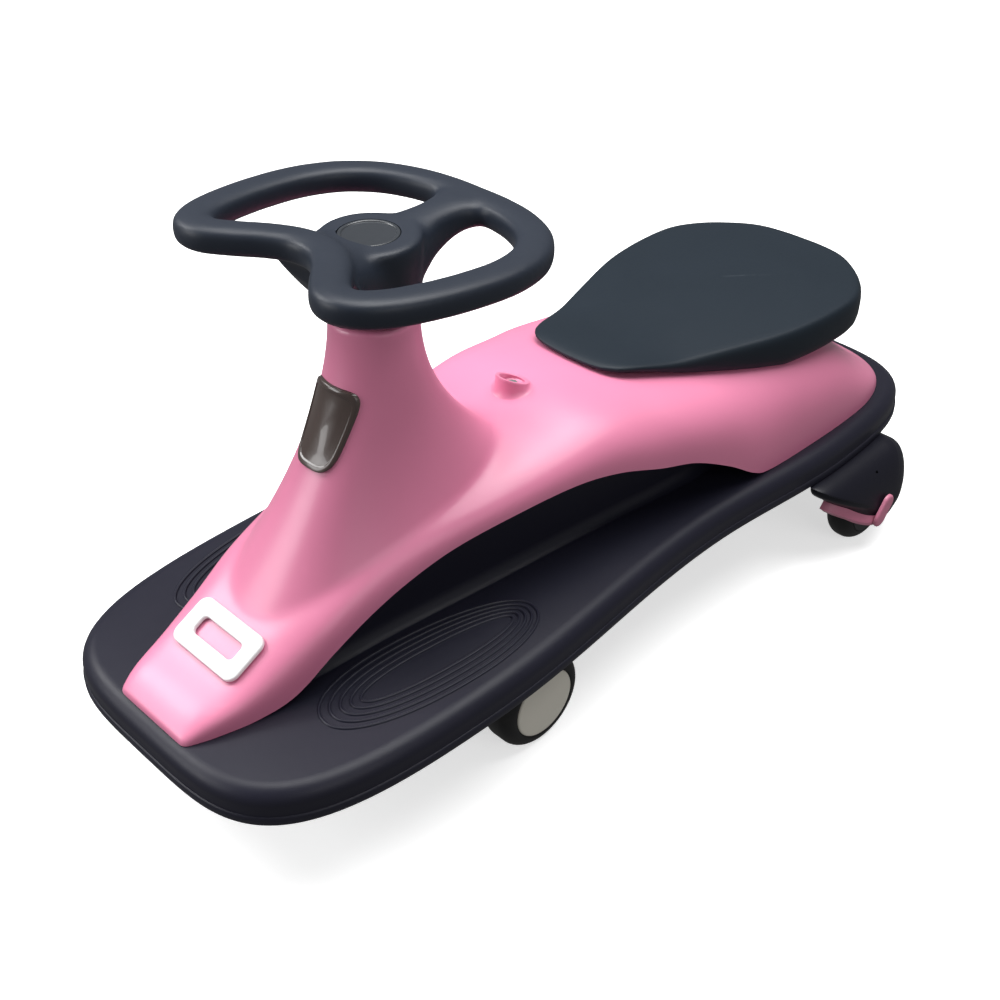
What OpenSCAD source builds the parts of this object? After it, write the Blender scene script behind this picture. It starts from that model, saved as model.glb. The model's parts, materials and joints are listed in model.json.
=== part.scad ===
// Wiggle car: a swing-steered ride-on toy. The front faces -Y, the rider's left is +X and +Z is up.
// The origin is on the floor under the middle of the footboard tray.

/* [Footboard tray] */
// Length of the tray
base_len = 784; // [720:4:860]
// Width of the tray at the front lobe, where the feet rest
front_w = 294; // [276:1:312]
// Width of the tray at its waist
waist_w = 262; // [240:1:280]
// Width of the tray at the rear
rear_w = 284; // [270:1:304]
// Height of the footboard above the floor
deck_h = 110; // [106:1:120]
// Depth of the tray's rim
rim_h = 27; // [22:1:28]
// Wall of the tray
tray_wall = 3; // [2.5:0.5:4]
// How far the rounded rim edge reaches in from the outside
rim_round = 14; // [10:1:18]
// Length of each foot tread
tread_len = 188; // [150:2:196]
// Width of each foot tread
tread_w = 68; // [56:1:70]
// Number of ridges in a tread
tread_n = 5; // [3:1:6]
// Width of a tread ridge
ridge_w = 2; // [1.5:0.1:2.5]
// Height of a tread ridge
ridge_h = 1.4; // [0.8:0.1:2]

/* [Body shell] */
// Margin of tray left around the rear of the shell
body_margin = 11; // [8:1:16]
// Wall of the shell
shell_wall = 3; // [2.5:0.5:4]
// Height of the shell's ridge over the footboard
ridge_top = 98; // [90:1:110]
// Height of the side arches over the footboard
arch_top = 74; // [60:1:80]
// Height of the steering column's top above the floor
column_top = 337; // [318:1:356]
// Diameter of the column at its top
column_d = 62; // [56:1:70]
// Width of the column's foot
foot_w = 118; // [106:1:124]

/* [Seat] */
// Length of the seat
seat_len = 330; // [300:2:340]
// Width of the seat
seat_w = 211; // [190:1:224]
// Thickness of the seat at its edge
seat_t = 31; // [24:1:33]
// Thickness of the seat at its front tip
seat_tip_t = 5; // [4:1:9]
// Height of the seat's edge above the footboard
seat_edge_h = 109; // [104:1:116]
// Rise of the seat's crown over its edge
seat_crown = 5; // [2:1:8]
// Rise of the seat's front tip
seat_rise = 9; // [6:1:11]

/* [Steering wheel] */
// Width of the steering wheel
wheel_w = 232; // [210:2:250]
// Height of the rim's middle above the column's top
rim_rise = 55; // [52:1:64]
// Width of the rim's section
rim_sec_w = 26; // [23:1:29]
// Height of the rim's section
rim_sec_h = 19; // [17:1:22]
// Rake of the rim towards the rider
rim_rake = 4; // [0:1:6]
// Diameter of the hub's top
hub_d = 70; // [64:1:76]
// Diameter of the round cap on the hub
cap_d = 41; // [36:1:46]
// Diameter of the steering shaft
shaft_d = 22; // [18:1:24]

/* [Wheels] */
// Diameter of the front wheels
front_d = 81; // [76:1:81]
// Width of a front tyre
front_tyre_w = 30; // [26:1:34]
// Width over the front wheels' cover discs
front_track = 260; // [250:1:266]
// How far the front axle trails the steering axis
trail = 37; // [32:1:42]
// Diameter of the front wheels' cover discs
disc_d = 57; // [50:1:58]
// Diameter of the rear wheels
rear_d = 76; // [72:1:77]
// Width of a rear tyre
rear_tyre_w = 27; // [25:1:29]
// Distance between the middles of the rear tyres
rear_track = 297; // [294:1:300]
// Diameter of the wheel axles
axle_d = 8; // [6:1:10]

/* [Trim] */
// Width of the nose frame
frame_w = 70; // [60:1:76]
// Length of the nose frame up the slope
frame_l = 38; // [32:1:44]
// Height of the column plate
plate_h = 54; // [48:1:64]
// Width of the column plate
plate_w = 46; // [40:1:54]

/* [Hidden] */
$fn = 64;

// Shared fits
run_gap = 0.4;
fit_gap = 0.1;
seat_gap = 0.2;
over = 1;
black = "#24252b";
dark = "#3a4654";
pink = "#e79ab8";
steel = "#b9bcc0";

// Tray derived values
hl = base_len / 2;
rim_z = deck_h - rim_h;
deck_t = tray_wall;
roof_z = deck_h - deck_t;
// Places along the half length where the front lobe, waist and rear lobe lie
lobe_share = -0.5;
waist_share = 0.16;
rear_share = 0.6;
// Roundness of the tray's ends, as powers of a rounded rectangle
front_pow = 6;
rear_pow = 8;
side_pow = 4;
corner_sweep = 73;
corner_n = 8;
side_n = 12;
side_from_share = -0.66;
side_to_share = 0.72;

// Steering derived values
// Place of the steering axis along the half length, forward of the middle
steer_share = 0.4286;
steer_y = -round(hl * steer_share);
shaft_r = shaft_d / 2;
bush_wall = 4;
bush_r = shaft_r + run_gap / 2 + bush_wall;
bush_len = 34;
flange_t = 2.5;
flange_out = 4;
washer_t = 2;
arm_top = rim_z - washer_t - run_gap;
front_r = front_d / 2;
rear_r = rear_d / 2;
front_y = steer_y + trail;
axle_share = 0.6786;
rear_back = round(hl * axle_share);
axle_r = axle_d / 2;
bear_r = 11;
bear_w = 7;
rim_mid = column_top + rim_rise;

// Interpolation through a table of rows
function cr(a, b, c, d, t) = (2 * b + (c - a) * t + (2 * a - 5 * b + 4 * c - d) * t * t
    + (3 * b - a - 3 * c + d) * t * t * t) / 2;
function row(tab, s) = let (n = len(tab), i = max(0, min(floor(s), n - 2)), t = s - i,
    p = tab[max(i - 1, 0)],
    q = tab[i], r = tab[i + 1], w = tab[min(i + 2, n - 1)])
        [for (k = [0:len(q) - 1]) cr(p[k], q[k], r[k], w[k], t)];
function find(tab, v, lo, hi, n = 16) = n == 0 ? (lo + hi) / 2
    : let (m = (lo + hi) / 2) row(tab, m)[0] < v ? find(tab, v, m, hi, n - 1)
        : find(tab, v, lo, m, n - 1);
function mean(r) = [for (k = [0:2]) [for (p = r) p[k]] * [for (p = r) 1] / len(r)];
function pw(v, e) = sign(v) * pow(abs(v), e);
function ease(a, b, t) = a + (b - a) * (1 - cos(180 * min(max(t, 0), 1))) / 2;

// Skins closed rings that run anticlockwise and rise; both ends are closed by fans
module ring_loft(rings) {
    n = len(rings[0]);
    m = len(rings);
    side = [for (i = [0:m - 2], j = [0:n - 1])
        let (a = i * n + j, b = i * n + (j + 1) % n, c = b + n, d = a + n)
        each [[a, c, b], [a, d, c]]];
    last = (m - 1) * n;
    caps = [for (j = [0:n - 1]) let (k = (j + 1) % n)
        each [[m * n, j, k], [m * n + 1, last + k, last + j]]];
    polyhedron(concat([for (r = rings) each r], [mean(rings[0]), mean(rings[m - 1])]),
        concat(side, caps));
}

// Skins closed rings that follow one another round a loop
module loop_loft(rings) {
    n = len(rings[0]);
    m = len(rings);
    side = [for (i = [0:m - 1], j = [0:n - 1])
        let (h = (i + 1) % m, a = i * n + j, b = i * n + (j + 1) % n,
        c = h * n + (j + 1) % n, d = h * n + j) each [[a, b, c], [a, c, d]]];
    polyhedron([for (r = rings) each r], side);
}

// Skins channel sections, each an outer line followed by the inner line back
module channel_loft(secs) {
    n = len(secs[0]);
    m = len(secs);
    h = n / 2;
    side = [for (i = [0:m - 2], j = [0:n - 1])
        let (a = i * n + j, b = i * n + (j + 1) % n, c = b + n, d = a + n)
        each [[a, b, c], [a, c, d]]];
    last = (m - 1) * n;
    caps = [for (j = [0:h - 2]) let (a = j, b = j + 1, c = n - 2 - j, d = n - 1 - j)
        each [[a, c, b], [a, d, c], [last + a, last + b, last + c], [last + a, last + c, last + d]]];
    polyhedron([for (s = secs) each s], concat(side, caps));
}

// Footboard tray outline
function mid_w(u) = (u < waist_share ? ease(front_w, waist_w, (u - lobe_share)
    / (waist_share - lobe_share))
    : ease(waist_w, rear_w, (u - waist_share) / (rear_share - waist_share))) / 2;
function end_u(f, p) = pow(1 - pow(f, side_pow), 1 / p);
function end_f(u) = pow(1 - pow(abs(u), u < 0 ? front_pow : rear_pow), 1 / side_pow);
function tray_half(y) = let (u = y / hl) mid_w(u) * end_f(u);
side_line = concat(
    [for (k = [0:corner_n]) let (f = sin(k * corner_sweep / corner_n), u = -end_u(f, front_pow))
        [mid_w(u) * f, u * hl]],
    [for (k = [0:side_n]) let (u = side_from_share + (side_to_share - side_from_share) * k / side_n)
        [mid_w(u) * end_f(u), u * hl]],
    [for (k = [corner_n:-1:0]) let (f = sin(k * corner_sweep / corner_n), u = end_u(f, rear_pow))
        [mid_w(u) * f, u * hl]]);
tray_line = concat(side_line, [for (k = [len(side_line) - 2:-1:1]) [-side_line[k].x, side_line[k].y]]);
function inset(line, d) = let (n = len(line))
    [for (i = [0:n - 1]) let (t = line[(i + 1) % n] - line[(i + n - 1) % n])
    line[i] - d * [t.y, -t.x] / norm(t)];
function level(line, z) = [for (p = line) [p.x, p.y, z]];

// Shell sections along the car: place and width shares, arch and ridge height shares, and squareness
body_shares = [
    [-0.972, 0.285, 0, 0.045, 5], [-0.93, 0.335, 0, 0.145, 5], [-0.86, 0.39, 0, 0.24, 5],
    [-0.775, 0.437, 0.08, 0.42, 4.5], [-0.69, 0.472, 0.37, 0.61, 4], [-0.61, 0.49, 0.585, 0.77, 3.4],
    [-0.525, 0.515, 0.76, 0.9, 3], [-0.43, 0.558, 0.905, 0.97, 2.8], [-0.31, 0.617, 0.985, 1.02, 2.8],
    [-0.155, 0.682, 1.01, 1.105, 2.8], [-0.045, 0.732, 0.93, 1.165, 2.8],
    [0.065, 0.79, 0.755, 1.135, 2.8], [0.155, 0.84, 0.635, 1.07, 3], [0.255, 0.882, 0.37, 1, 3.2],
    [0.335, 0.912, 0.1, 0.975, 3.1],
    [0.39, 0.922, 0.012, 0.965, 3.1], [0.515, 0.935, 0, 0.945, 3.1], [0.665, 0.936, 0, 0.815, 2.9],
    [0.785, 0.905, 0, 0.5, 2.6], [0.875, 0.8, 0, 0.215, 2.5], [0.93, 0.6, 0, 0.085, 2.5],
    [0.955, 0.32, 0, 0.035, 2.5]];
body_half = rear_w / 2 - body_margin;
shell_n = 18;
step_n = 36;
thin_share = 0.35;
deck_gap = 0.3;
foot_z = deck_h + deck_gap;
function body_row(s) = let (r = row(body_shares, s))
    [r[0] * hl, r[1] * body_half, foot_z + max(r[2], 0) * arch_top,
    foot_z + r[3] * ridge_top, r[4]];
function body_at(y) = body_row(find(body_shares, y / hl, 0, len(body_shares) - 1));
function over_half(x, w, n) = pow(max(1 - pow(min(abs(x) / w, 1), n), 0), 1 / n);
function body_z(x, y) = let (r = body_at(y)) r[2] + (r[3] - r[2]) * over_half(x, r[1], r[4]);
function arc_line(w, z0, z1, n, y, m) = [for (k = [0:m]) let (a = 180 * k / m)
    [w * pw(cos(a), 2 / n), y, z0 + (z1 - z0) * pow(sin(a), 2 / n)]];
function flipped(l) = [for (k = [len(l) - 1:-1:0]) l[k]];
function body_sec(s) = let (r = body_row(s), t = r[3] - r[2])
    concat(arc_line(r[1], r[2], r[3], r[4], r[0], shell_n),
    flipped(arc_line(r[1] - shell_wall, r[2], r[2] + max(t - shell_wall, t * thin_share), r[4], r[0],
        shell_n)));

// Column: each side runs from the round top down to a foot on the shell, flaring as it goes
foot_front_share = 0.3418;
foot_rear_share = 0.2398;
foot_front = round(hl * foot_front_share);
foot_rear = round(hl * foot_rear_share);
flare_pow = 2.2;
front_flare = 1.7;
col_n = 40;
col_m = 9;
col_sink = 2.2;
head_h = 36;
foot_pow = 2.3;
function foot_at(a) = [pw(cos(a), 2 / foot_pow) * foot_w / 2,
    steer_y + pw(sin(a), 2 / foot_pow) * (sin(a) < 0 ? foot_front : foot_rear)];
function flare_at(a) = sin(a) < 0 ? ease(flare_pow, front_flare, -sin(a)) : flare_pow;
function col_point(a, t, wall, drop) = let (f = foot_at(a), e = flare_at(a), g = pow(t, e),
    r = column_d / 2,
    z1 = body_z(f.x, f.y) - col_sink - drop, d = [f.x, f.y - steer_y], c = [cos(a), sin(a)] * r,
    q = c + (d - c) * g, s = 1 - wall / norm(q))
        [q.x * s, steer_y + q.y * s, column_top + (z1 - column_top) * t];
function col_ring(t, wall, drop) = [for (k = [0:col_n - 1]) col_point(360 * k / col_n, t, wall, drop)];
// Front face of the column at a place across and a height, for pieces that lie on it
function col_at(a, z) = let (f = foot_at(a), z1 = body_z(f.x, f.y) - col_sink)
    col_point(a, (column_top - z) / (column_top - z1), 0, 0);
function col_find(x, z, lo, hi, n = 14) = n == 0 ? col_at((lo + hi) / 2, z)
    : let (m = (lo + hi) / 2) col_at(m, z).x < x ? col_find(x, z, m, hi, n - 1)
        : col_find(x, z, lo, m, n - 1);
function col_front(x, z) = col_find(abs(x), z, -90, 0).y;

// Screws
screw_r = 2;
screw_hole = screw_r + fit_gap;
head_r = 4;
screw_head_t = 2.5;
boss_r = 5.5;
boss_bite = 1.5;
// Upright screw whose head is below and whose point is up
module screw_up(len) {
    cylinder(r = head_r, h = screw_head_t);
    cylinder(r = screw_r, h = len);
}

// Body fixing places: across and along the car
nose_fix_share = 0.842;
mid_fix_share = 0.5;
rear_fix_share = 0.8112;
nose_fix = round(hl * nose_fix_share);
mid_fix_x = 88;
mid_fix_y = round(hl * mid_fix_share);
rear_fix_x = 62;
rear_fix_y = round(hl * rear_fix_share);
base_fix = [[0, -nose_fix], [mid_fix_x, mid_fix_y], [-mid_fix_x, mid_fix_y], [rear_fix_x, rear_fix_y],
    [-rear_fix_x, rear_fix_y]];
fix_len = 20;
socket_share = 0.0918;
socket_y = -round(hl * socket_share);
socket_r = 13;
socket_h = 13;
socket_bore = 9.5;
socket_deep = 12;
socket_slant = 23;

// Hoods over the rear wheels
hood_wall = 3.5;
inner_wall = 8;
outer_wall = 12;
tyre_room = 1.2;
hood_in = rear_track / 2 - rear_tyre_w / 2 - inner_wall;
hood_out = rear_track / 2 + rear_tyre_w / 2 + outer_wall;
pocket_r = rear_r + tyre_room;
pocket_gap = 2;
hood_n = 30;
hood_top = rim_z - deck_gap;
neck_in = 16;
neck_l = 60;
neck_t = 6;
neck_wall = 4;
pad_h = 6;
hood_fix = 20;

// Tray
wall_from_share = -0.8;
wall_to_share = 0.44;
wall_n = 16;
wall_in_share = 0.66;
wall_half_share = 0.58;
wall_pow = 6;
wall_steps = 16;
flare_out = 12;
under_gap = 6;
lip_h = 7;
lip_in = 1.2;
post_wall = 6;
post_r = bush_r + post_wall;
post_h = 34;
post_top = rim_z + flange_t + post_h;
shaft_room = 2;
rib_t = 2.5;
rib_drop = 12;
rib_end_share = 0.57;
rib_bite = 0.5;
rib_shares = [-0.82, -0.62, -0.08, 0.14, 0.36, 0.58, 0.86];
spine_x = 46;

function wall_sec(s, d) = let (r = body_at((wall_from_share + (wall_to_share - wall_from_share) * s)
    * hl),
    w = min(r[1] * wall_in_share, wall_half_share * body_half) - d, z0 = deck_h - deck_t / 2,
        z1 = max(r[3] - shell_wall - under_gap, z0 + over) - d,
    f = flare_out, top = arc_line(w, deck_h + f, z1, wall_pow, r[0], wall_n))
    concat([[w + f, r[0], z0], [w + f / 3, r[0], deck_h + f / 3]], top,
        [[-w - f / 3, r[0], deck_h + f / 3], [-w - f, r[0], z0]]);

// Rounding of the tray's upper edge: how far in and how far down
edge_shares = [[0.12, 0.72], [0.29, 0.29], [0.62, 0.06], [1, 0]];

module base_tray() {
    color(black) difference() {
        union() {
            difference() {
                ring_loft([level(inset(tray_line, tray_wall + rim_round / 2), roof_z),
                    level(inset(tray_line, tray_wall + rim_round / 8), roof_z - rim_round / 2),
                    level(inset(tray_line, tray_wall), rim_z),
                    level(inset(tray_line, lip_in), rim_z),
                    level(tray_line, rim_z + lip_in),
                    level(tray_line, rim_z + lip_h),
                    level(inset(tray_line, lip_in), rim_z + lip_h + lip_in / 2),
                    level(inset(tray_line, lip_in), rim_z + lip_h + lip_in),
                    for (e = edge_shares) level(inset(tray_line, rim_round * e[0]),
                    deck_h - rim_round * e[1])]);
                tray_slot();
            }
            channel_loft([for (k = [0:wall_steps]) concat(wall_sec(k / wall_steps, 0),
            flipped(wall_sec(k / wall_steps, tray_wall)))]);
            translate([0, steer_y, rim_z + flange_t]) cylinder(r = post_r, h = post_h);
            tray_ribs();
            for (s = [-1, 1]) tread(s);
            for (p = base_fix) translate([p.x, p.y, roof_z - rib_drop])
            cylinder(r = boss_r, h = rib_drop + boss_bite);
            for (s = [-1, 1], k = [-1, 1]) translate([s * (hood_in - neck_in / 2),
            rear_back + k * hood_fix, roof_z - pad_h])
                cylinder(r = boss_r, h = pad_h + boss_bite);
            translate([0, socket_y, wall_roof(socket_y) - fix_len])
            cylinder(r = boss_r, h = fix_len - boss_bite);
        }
        translate([0, steer_y, rim_z - over]) cylinder(r = bush_r + fit_gap,
            h = post_h + flange_t + 2 * over);
        translate([0, steer_y, post_top - over])
            cylinder(r = shaft_r + shaft_room, h = column_top - post_top);
        for (p = base_fix) translate([p.x, p.y, roof_z - rib_drop - over])
            cylinder(r = screw_hole, h = rib_drop + deck_t + 2 * over);
        for (s = [-1, 1], k = [-1, 1]) translate([s * (hood_in - neck_in / 2), rear_back + k * hood_fix,
            roof_z - pad_h - over])
            cylinder(r = screw_hole, h = pad_h + over);
        translate([0, socket_y, wall_roof(socket_y) - fix_len - over])
            cylinder(r = screw_hole, h = fix_len + 2 * over);
    }
}
function wall_roof(y) = body_at(y)[3] - shell_wall - under_gap;

// Long opening in the deck under the centre wall
module tray_slot() {
    w = waist_w / 6;
    translate([-w / 2, steer_y + post_r, roof_z - over])
        cube([w, wall_to_share * hl - steer_y - 2 * post_r, deck_t + 2 * over]);
}

module tray_ribs() {
    for (u = rib_shares) {
        w = tray_half(u * hl) - rim_round * rib_end_share;
        translate([-w, u * hl - rib_t / 2, roof_z - rib_drop]) cube([2 * w, rib_t, rib_drop + rib_bite]);
    }
    for (s = [-1, 1]) translate([s * spine_x - rib_t / 2, rib_shares[0] * hl, roof_z - rib_drop])
        cube([rib_t, (rib_shares[len(rib_shares) - 1] - rib_shares[0]) * hl, rib_drop + rib_bite]);
}

// Foot tread: ridges that follow one another inward
tread_x = 92;
tread_share = 0.5306;
tread_y = -round(hl * tread_share);
tread_turn = 5;
tread_step = 5.4;
tread_pts = 40;
function oval(a, b) = [for (k = [0:tread_pts - 1])
    [a * cos(360 * k / tread_pts), b * sin(360 * k / tread_pts)]];
module tread(s) {
    translate([s * tread_x, tread_y, deck_h - boss_bite]) rotate(-s * tread_turn)
        for (k = [0:tread_n - 1]) linear_extrude(ridge_h + boss_bite) difference() {
            polygon(oval(tread_w / 2 - k * tread_step, tread_len / 2 - k * tread_step));
            polygon(oval(tread_w / 2 - k * tread_step - ridge_w,
            tread_len / 2 - k * tread_step - ridge_w));
        }
}

module body_shell() {
    n = len(body_shares) - 1;
    color(pink) difference() {
        union() {
            channel_loft([for (k = [0:step_n]) body_sec(k * n / step_n)]);
            difference() {
                ring_loft([for (k = [col_m:-1:0]) col_ring(k / col_m, 0, 0)]);
                col_hollow();
            }
            translate([0, socket_y, wall_roof(socket_y) + under_gap + boss_bite])
            cylinder(r = socket_r, h = socket_h + shell_wall - boss_bite);
            for (p = base_fix) translate([p.x, p.y, foot_z])
            cylinder(r = boss_r, h = body_z(p.x, p.y) - foot_z - boss_bite);
        }
        col_hollow();
        translate([0, steer_y, column_top - bush_len])
            cylinder(r = bush_r + fit_gap, h = bush_len + over);
        translate([0, socket_y, wall_roof(socket_y) + under_gap + shell_wall + socket_h - socket_deep])
            cylinder(r = socket_bore, h = socket_deep + over);
        translate([0, socket_y, wall_roof(socket_y)])
            cylinder(r = screw_hole, h = socket_h + shell_wall + under_gap);
        translate([-socket_r - over, socket_y - socket_r,
            wall_roof(socket_y) + under_gap + shell_wall + socket_h])
            rotate([-socket_slant, 0, 0])
            cube([2 * (socket_r + over), 2 * socket_r / cos(socket_slant) + over, socket_h]);
        for (p = base_fix) translate([p.x, p.y, foot_z - over])
            cylinder(r = screw_hole, h = min(fix_len, body_z(p.x, p.y) - foot_z - shell_wall) + over);
        for (k = seat_fix) translate([k.x, k.y, seat_head_z(k)])
            cylinder(r = screw_hole, h = body_z(k.x, k.y) - seat_head_z(k) + screw_hole + over);
    }
}
// Room inside the column under its head
hollow_m = 4;
hollow_in = 6;
hollow_drop = 8;
module col_hollow() {
    t0 = head_h / (column_top - deck_h);
    ring_loft([for (k = [hollow_m:-1:0]) col_ring(t0 + (1 - t0) * k / hollow_m, hollow_in, hollow_drop)]);
}

// Seat outline shares: along the seat and across it
seat_shares = [[0, 0], [0.002, 0.133], [0.007, 0.256], [0.02, 0.365], [0.05, 0.455], [0.115, 0.54],
    [0.2, 0.635], [0.285, 0.73], [0.358, 0.81], [0.448, 0.905], [0.539, 0.972], [0.661, 1.01],
    [0.785, 0.99], [0.876, 0.85], [0.946, 0.63], [0.984, 0.43], [0.998, 0.2], [1, 0]];
seat_place_share = 0.4821;
seat_front = round(hl * seat_place_share) - seat_len / 2;
seat_mid_share = 0.6;
seat_mid = seat_front + seat_len * seat_mid_share;
seat_side = [for (p = seat_shares) [p[1] * seat_w / 2, seat_front + p[0] * seat_len]];
seat_line = concat(seat_side, [for (k = [len(seat_side) - 2:-1:1]) [-seat_side[k].x, seat_side[k].y]]);
seat_edge_share = 0.965;
seat_edge_shares = [0.3, 0.75];
seat_ring_shares = [0.08, 0.3, 0.62, 0.86, seat_edge_share];
// Room between the seat and the shell, at the seat's middle and at its edge
seat_clear = 2.6;
seat_rim_clear = 1.6;
function seat_in(p, s) = [p.x * s, seat_mid + (p.y - seat_mid) * s];
function seat_edge(y) = deck_h + seat_edge_h
    + ease(seat_rise, 0, (y - seat_front) / (seat_len * rise_share));
function seat_top(s, y) = seat_edge(y) + seat_crown * (1 - s * s);
rise_share = 0.23;
function seat_edge_t(y) = ease(seat_tip_t, seat_t,
    ((y - seat_front) / seat_len - thin_to_share) / (thick_share - thin_to_share));
function seat_low(p, s) = max(body_z(p.x, p.y) + ease(seat_clear, seat_rim_clear, s), seat_edge(p.y)
    - seat_edge_t(p.y));
thin_to_share = 0.085;
thick_share = 0.48;
module seat_pad() {
    color(dark) difference() {
        ring_loft(concat(
            [for (s = seat_ring_shares) [for (q = seat_line) let (p = seat_in(q, s))
            [p.x, p.y, seat_low(p, s)]]],
            [for (h = seat_edge_shares) [for (q = seat_line)
            let (z = seat_low(seat_in(q, seat_edge_share), seat_edge_share))
                [q.x, q.y, z + (seat_edge(q.y) - z) * h]]],
            [for (i = [len(seat_ring_shares) - 1:-1:0]) let (s = seat_ring_shares[i])
            [for (q = seat_line) let (p = seat_in(q, s)) [p.x, p.y, seat_top(s, p.y)]]]));
        for (k = seat_fix) translate([k.x, k.y, body_z(k.x, k.y) - over])
            cylinder(r = screw_hole, h = seat_bite + over);
    }
}
seat_fix_x = 48;
seat_fix_shares = [0.537, 0.714];
seat_fix = [for (s = [-1, 1], u = seat_fix_shares) [s * seat_fix_x, seat_front + u * seat_len]];
seat_bite = 9;
// Top of a seat screw's head: clear below the lowest part of the sloping shell around it
head_n = 8;
under_share = 1.5;
function seat_head_z(k) = min([for (i = [0:head_n - 1]) body_z(k.x + head_r * cos(360 * i / head_n),
    k.y + head_r * sin(360 * i / head_n))]) - shell_wall * under_share;

// White frame on the nose slope
nose_mid_share = 0.818;
frame_t = 3;
frame_lift = 0.8;
frame_round = 8;
slot_w = 44;
slot_l = 14;
slot_round = 4;
frame_y = -nose_mid_share * hl;
frame_low = body_z(0, frame_y - frame_l / 2);
frame_high = body_z(0, frame_y + frame_l / 2);
frame_z = (frame_low + frame_high) / 2;
slope = atan((frame_high - frame_low) / frame_l);
module round_rect(w, l, r) {
    square([w - 2 * r, l], center = true);
    square([w, l - 2 * r], center = true);
    for (x = [-1, 1], y = [-1, 1]) translate([x * (w / 2 - r), y * (l / 2 - r)]) circle(r = r);
}
module nose_frame() {
    color("white") translate([0, frame_y, frame_z + frame_lift]) rotate([slope, 0, 0])
        linear_extrude(frame_t) difference() {
        round_rect(frame_w, frame_l, frame_round);
        round_rect(slot_w, slot_l, slot_round);
    }
}

// Plate on the front of the column
plate_t = 2;
plate_z = 270;
plate_n = 28;
plate_pow = 5;
plate_ring_shares = [0.4, 0.75, 1];
plate_taper_share = 0.22;
function plate_at(k, s) = let (a = 360 * k / plate_n, v = pw(sin(a), 2 / plate_pow),
    w = 1 + plate_taper_share * (v - 1) / 2)
    [s * w * pw(cos(a), 2 / plate_pow) * plate_w / 2, plate_z + s * v * plate_h / 2];
function plate_ring(s, d) = [for (k = [0:plate_n - 1]) let (p = plate_at(k, s))
    [p.x, col_front(p.x, p.y) - d, p.y]];
module column_plate() {
    color("#4d3e39") ring_loft(concat([for (s = plate_ring_shares) plate_ring(s, plate_back)],
        [for (i = [len(plate_ring_shares) - 1:-1:0])
            plate_ring(plate_ring_shares[i], plate_back + plate_t)]));
}
plate_back = 1.2;

// Bushes that carry the shaft
module bush(len) {
    difference() {
        union() {
            cylinder(r = bush_r, h = len);
            translate([0, 0, len]) cylinder(r = bush_r + flange_out, h = flange_t);
        }
        translate([0, 0, -over]) cylinder(r = shaft_r + run_gap / 2, h = len + flange_t + 2 * over);
    }
}
module upper_bush() {
    color("#d8d8d4") translate([0, steer_y, column_top - bush_len]) bush(bush_len);
}
module lower_bush() {
    color("#d8d8d4") translate([0, steer_y, rim_z + flange_t + bush_len]) mirror([0, 0, 1])
        bush(bush_len);
}

// Side outline shares of a hood: along from the axle in pocket radii, and up from the floor in hood heights
hood_shares = [[1.05, 1], [-1.61, 1], [-1.81, 0.955], [-1.76, 0.87], [-1.33, 0.71], [-0.885, 0.503],
    [-0.45, 0.335], [-0.08, 0.25], [0.306, 0.266], [0.727, 0.363], [1.097, 0.472], [1.365, 0.599],
        [1.467, 0.762],
    [1.352, 0.919], [1.05, 1]];
// Point that the dome closes on, how little its lower side closes, and the dome's roundness across
// The front closes towards the inner side too, up to a place across, by a share that its own power rounds
hood_core_share = [0.3, 0.4];
hood_hold_share = 0.4;
dome_from_share = 0.3;
dome_pow = 2.3;
dome_end = 0.62;
dome_full_share = 0.93;
inner_to_share = 0.3;
inner_full_share = 0.4;
inner_pow = 2;
function hood_point(s) = let (p = s < 1 ? hood_shares[0] + (hood_shares[1] - hood_shares[0])
    * s : row(hood_shares, s))
    [p[0] * pocket_r, min(p[1], 1) * hood_top];
function hood_pull(p, d, e) = let (c = [hood_core_share[0] * pocket_r, hood_core_share[1] * hood_top],
    q = [p.x + max(c.x - p.x, 0) * e, p.y])
    q + (c - q) * d * (hood_hold_share + (1 - hood_hold_share) * q.y / hood_top);
function dome(u) = let (v = max(u - dome_from_share, 0) / (1 - dome_from_share))
    dome_full_share * (1 - pow(1 - pow(v, dome_pow), dome_end));
function inner_end(u) = inner_full_share * pow(max(1 - u / inner_to_share, 0), inner_pow);
hood_line = [for (k = [0:hood_n - 1]) hood_point(k * (len(hood_shares) - 1) / hood_n)];
function hood_ring(u, x, out) = let (line = [for (q = hood_line) hood_pull(q, dome(u), inner_end(u))])
    [for (p = inset(line, -out)) [x, rear_back + p.x, p.y]];
// Places across a hood at which its dome is drawn
dome_shares = [0, 0.08, 0.2, 0.3, 0.45, 0.6, 0.71, 0.8, 0.87, 0.925, 0.965, 0.99, 1];
function hood_x(u) = hood_in + u * (hood_out - hood_in);
module hood_solid() {
    ring_loft([for (u = dome_shares) hood_ring(u, hood_x(u), 0)]);
}
// Room for the tyre inside a hood
module tyre_pocket() {
    translate([rear_track / 2, rear_back, rear_r]) rotate([0, 90, 0]) {
        tyre_at(rear_d + 2 * tyre_room, rear_tyre_w + 2 * pocket_gap, rear_round);
        cylinder(r = pocket_r * hub_share + over, h = rear_tyre_w + 2 * pocket_gap, center = true);
    }
}
module hood() {
    difference() {
        union() {
            hood_solid();
            translate([hood_in - neck_in, rear_back - neck_l / 2, roof_z - pad_h - neck_t])
            cube([neck_in + neck_wall, neck_l, neck_t]);
            translate([hood_in, rear_back - neck_l / 2, hood_top - over])
            cube([neck_wall, neck_l, roof_z - pad_h - hood_top + over]);
        }
        tyre_pocket();
        translate([hood_in - over, rear_back, rear_r]) rotate([0, 90, 0])
            cylinder(r = axle_r + fit_gap, h = axle_len + over);
        for (k = [-1, 1]) translate([hood_in - neck_in / 2, rear_back + k * hood_fix,
            roof_z - pad_h - neck_t - over])
            cylinder(r = screw_hole, h = neck_t + 2 * over);
    }
}
axle_stop = 4;
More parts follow.
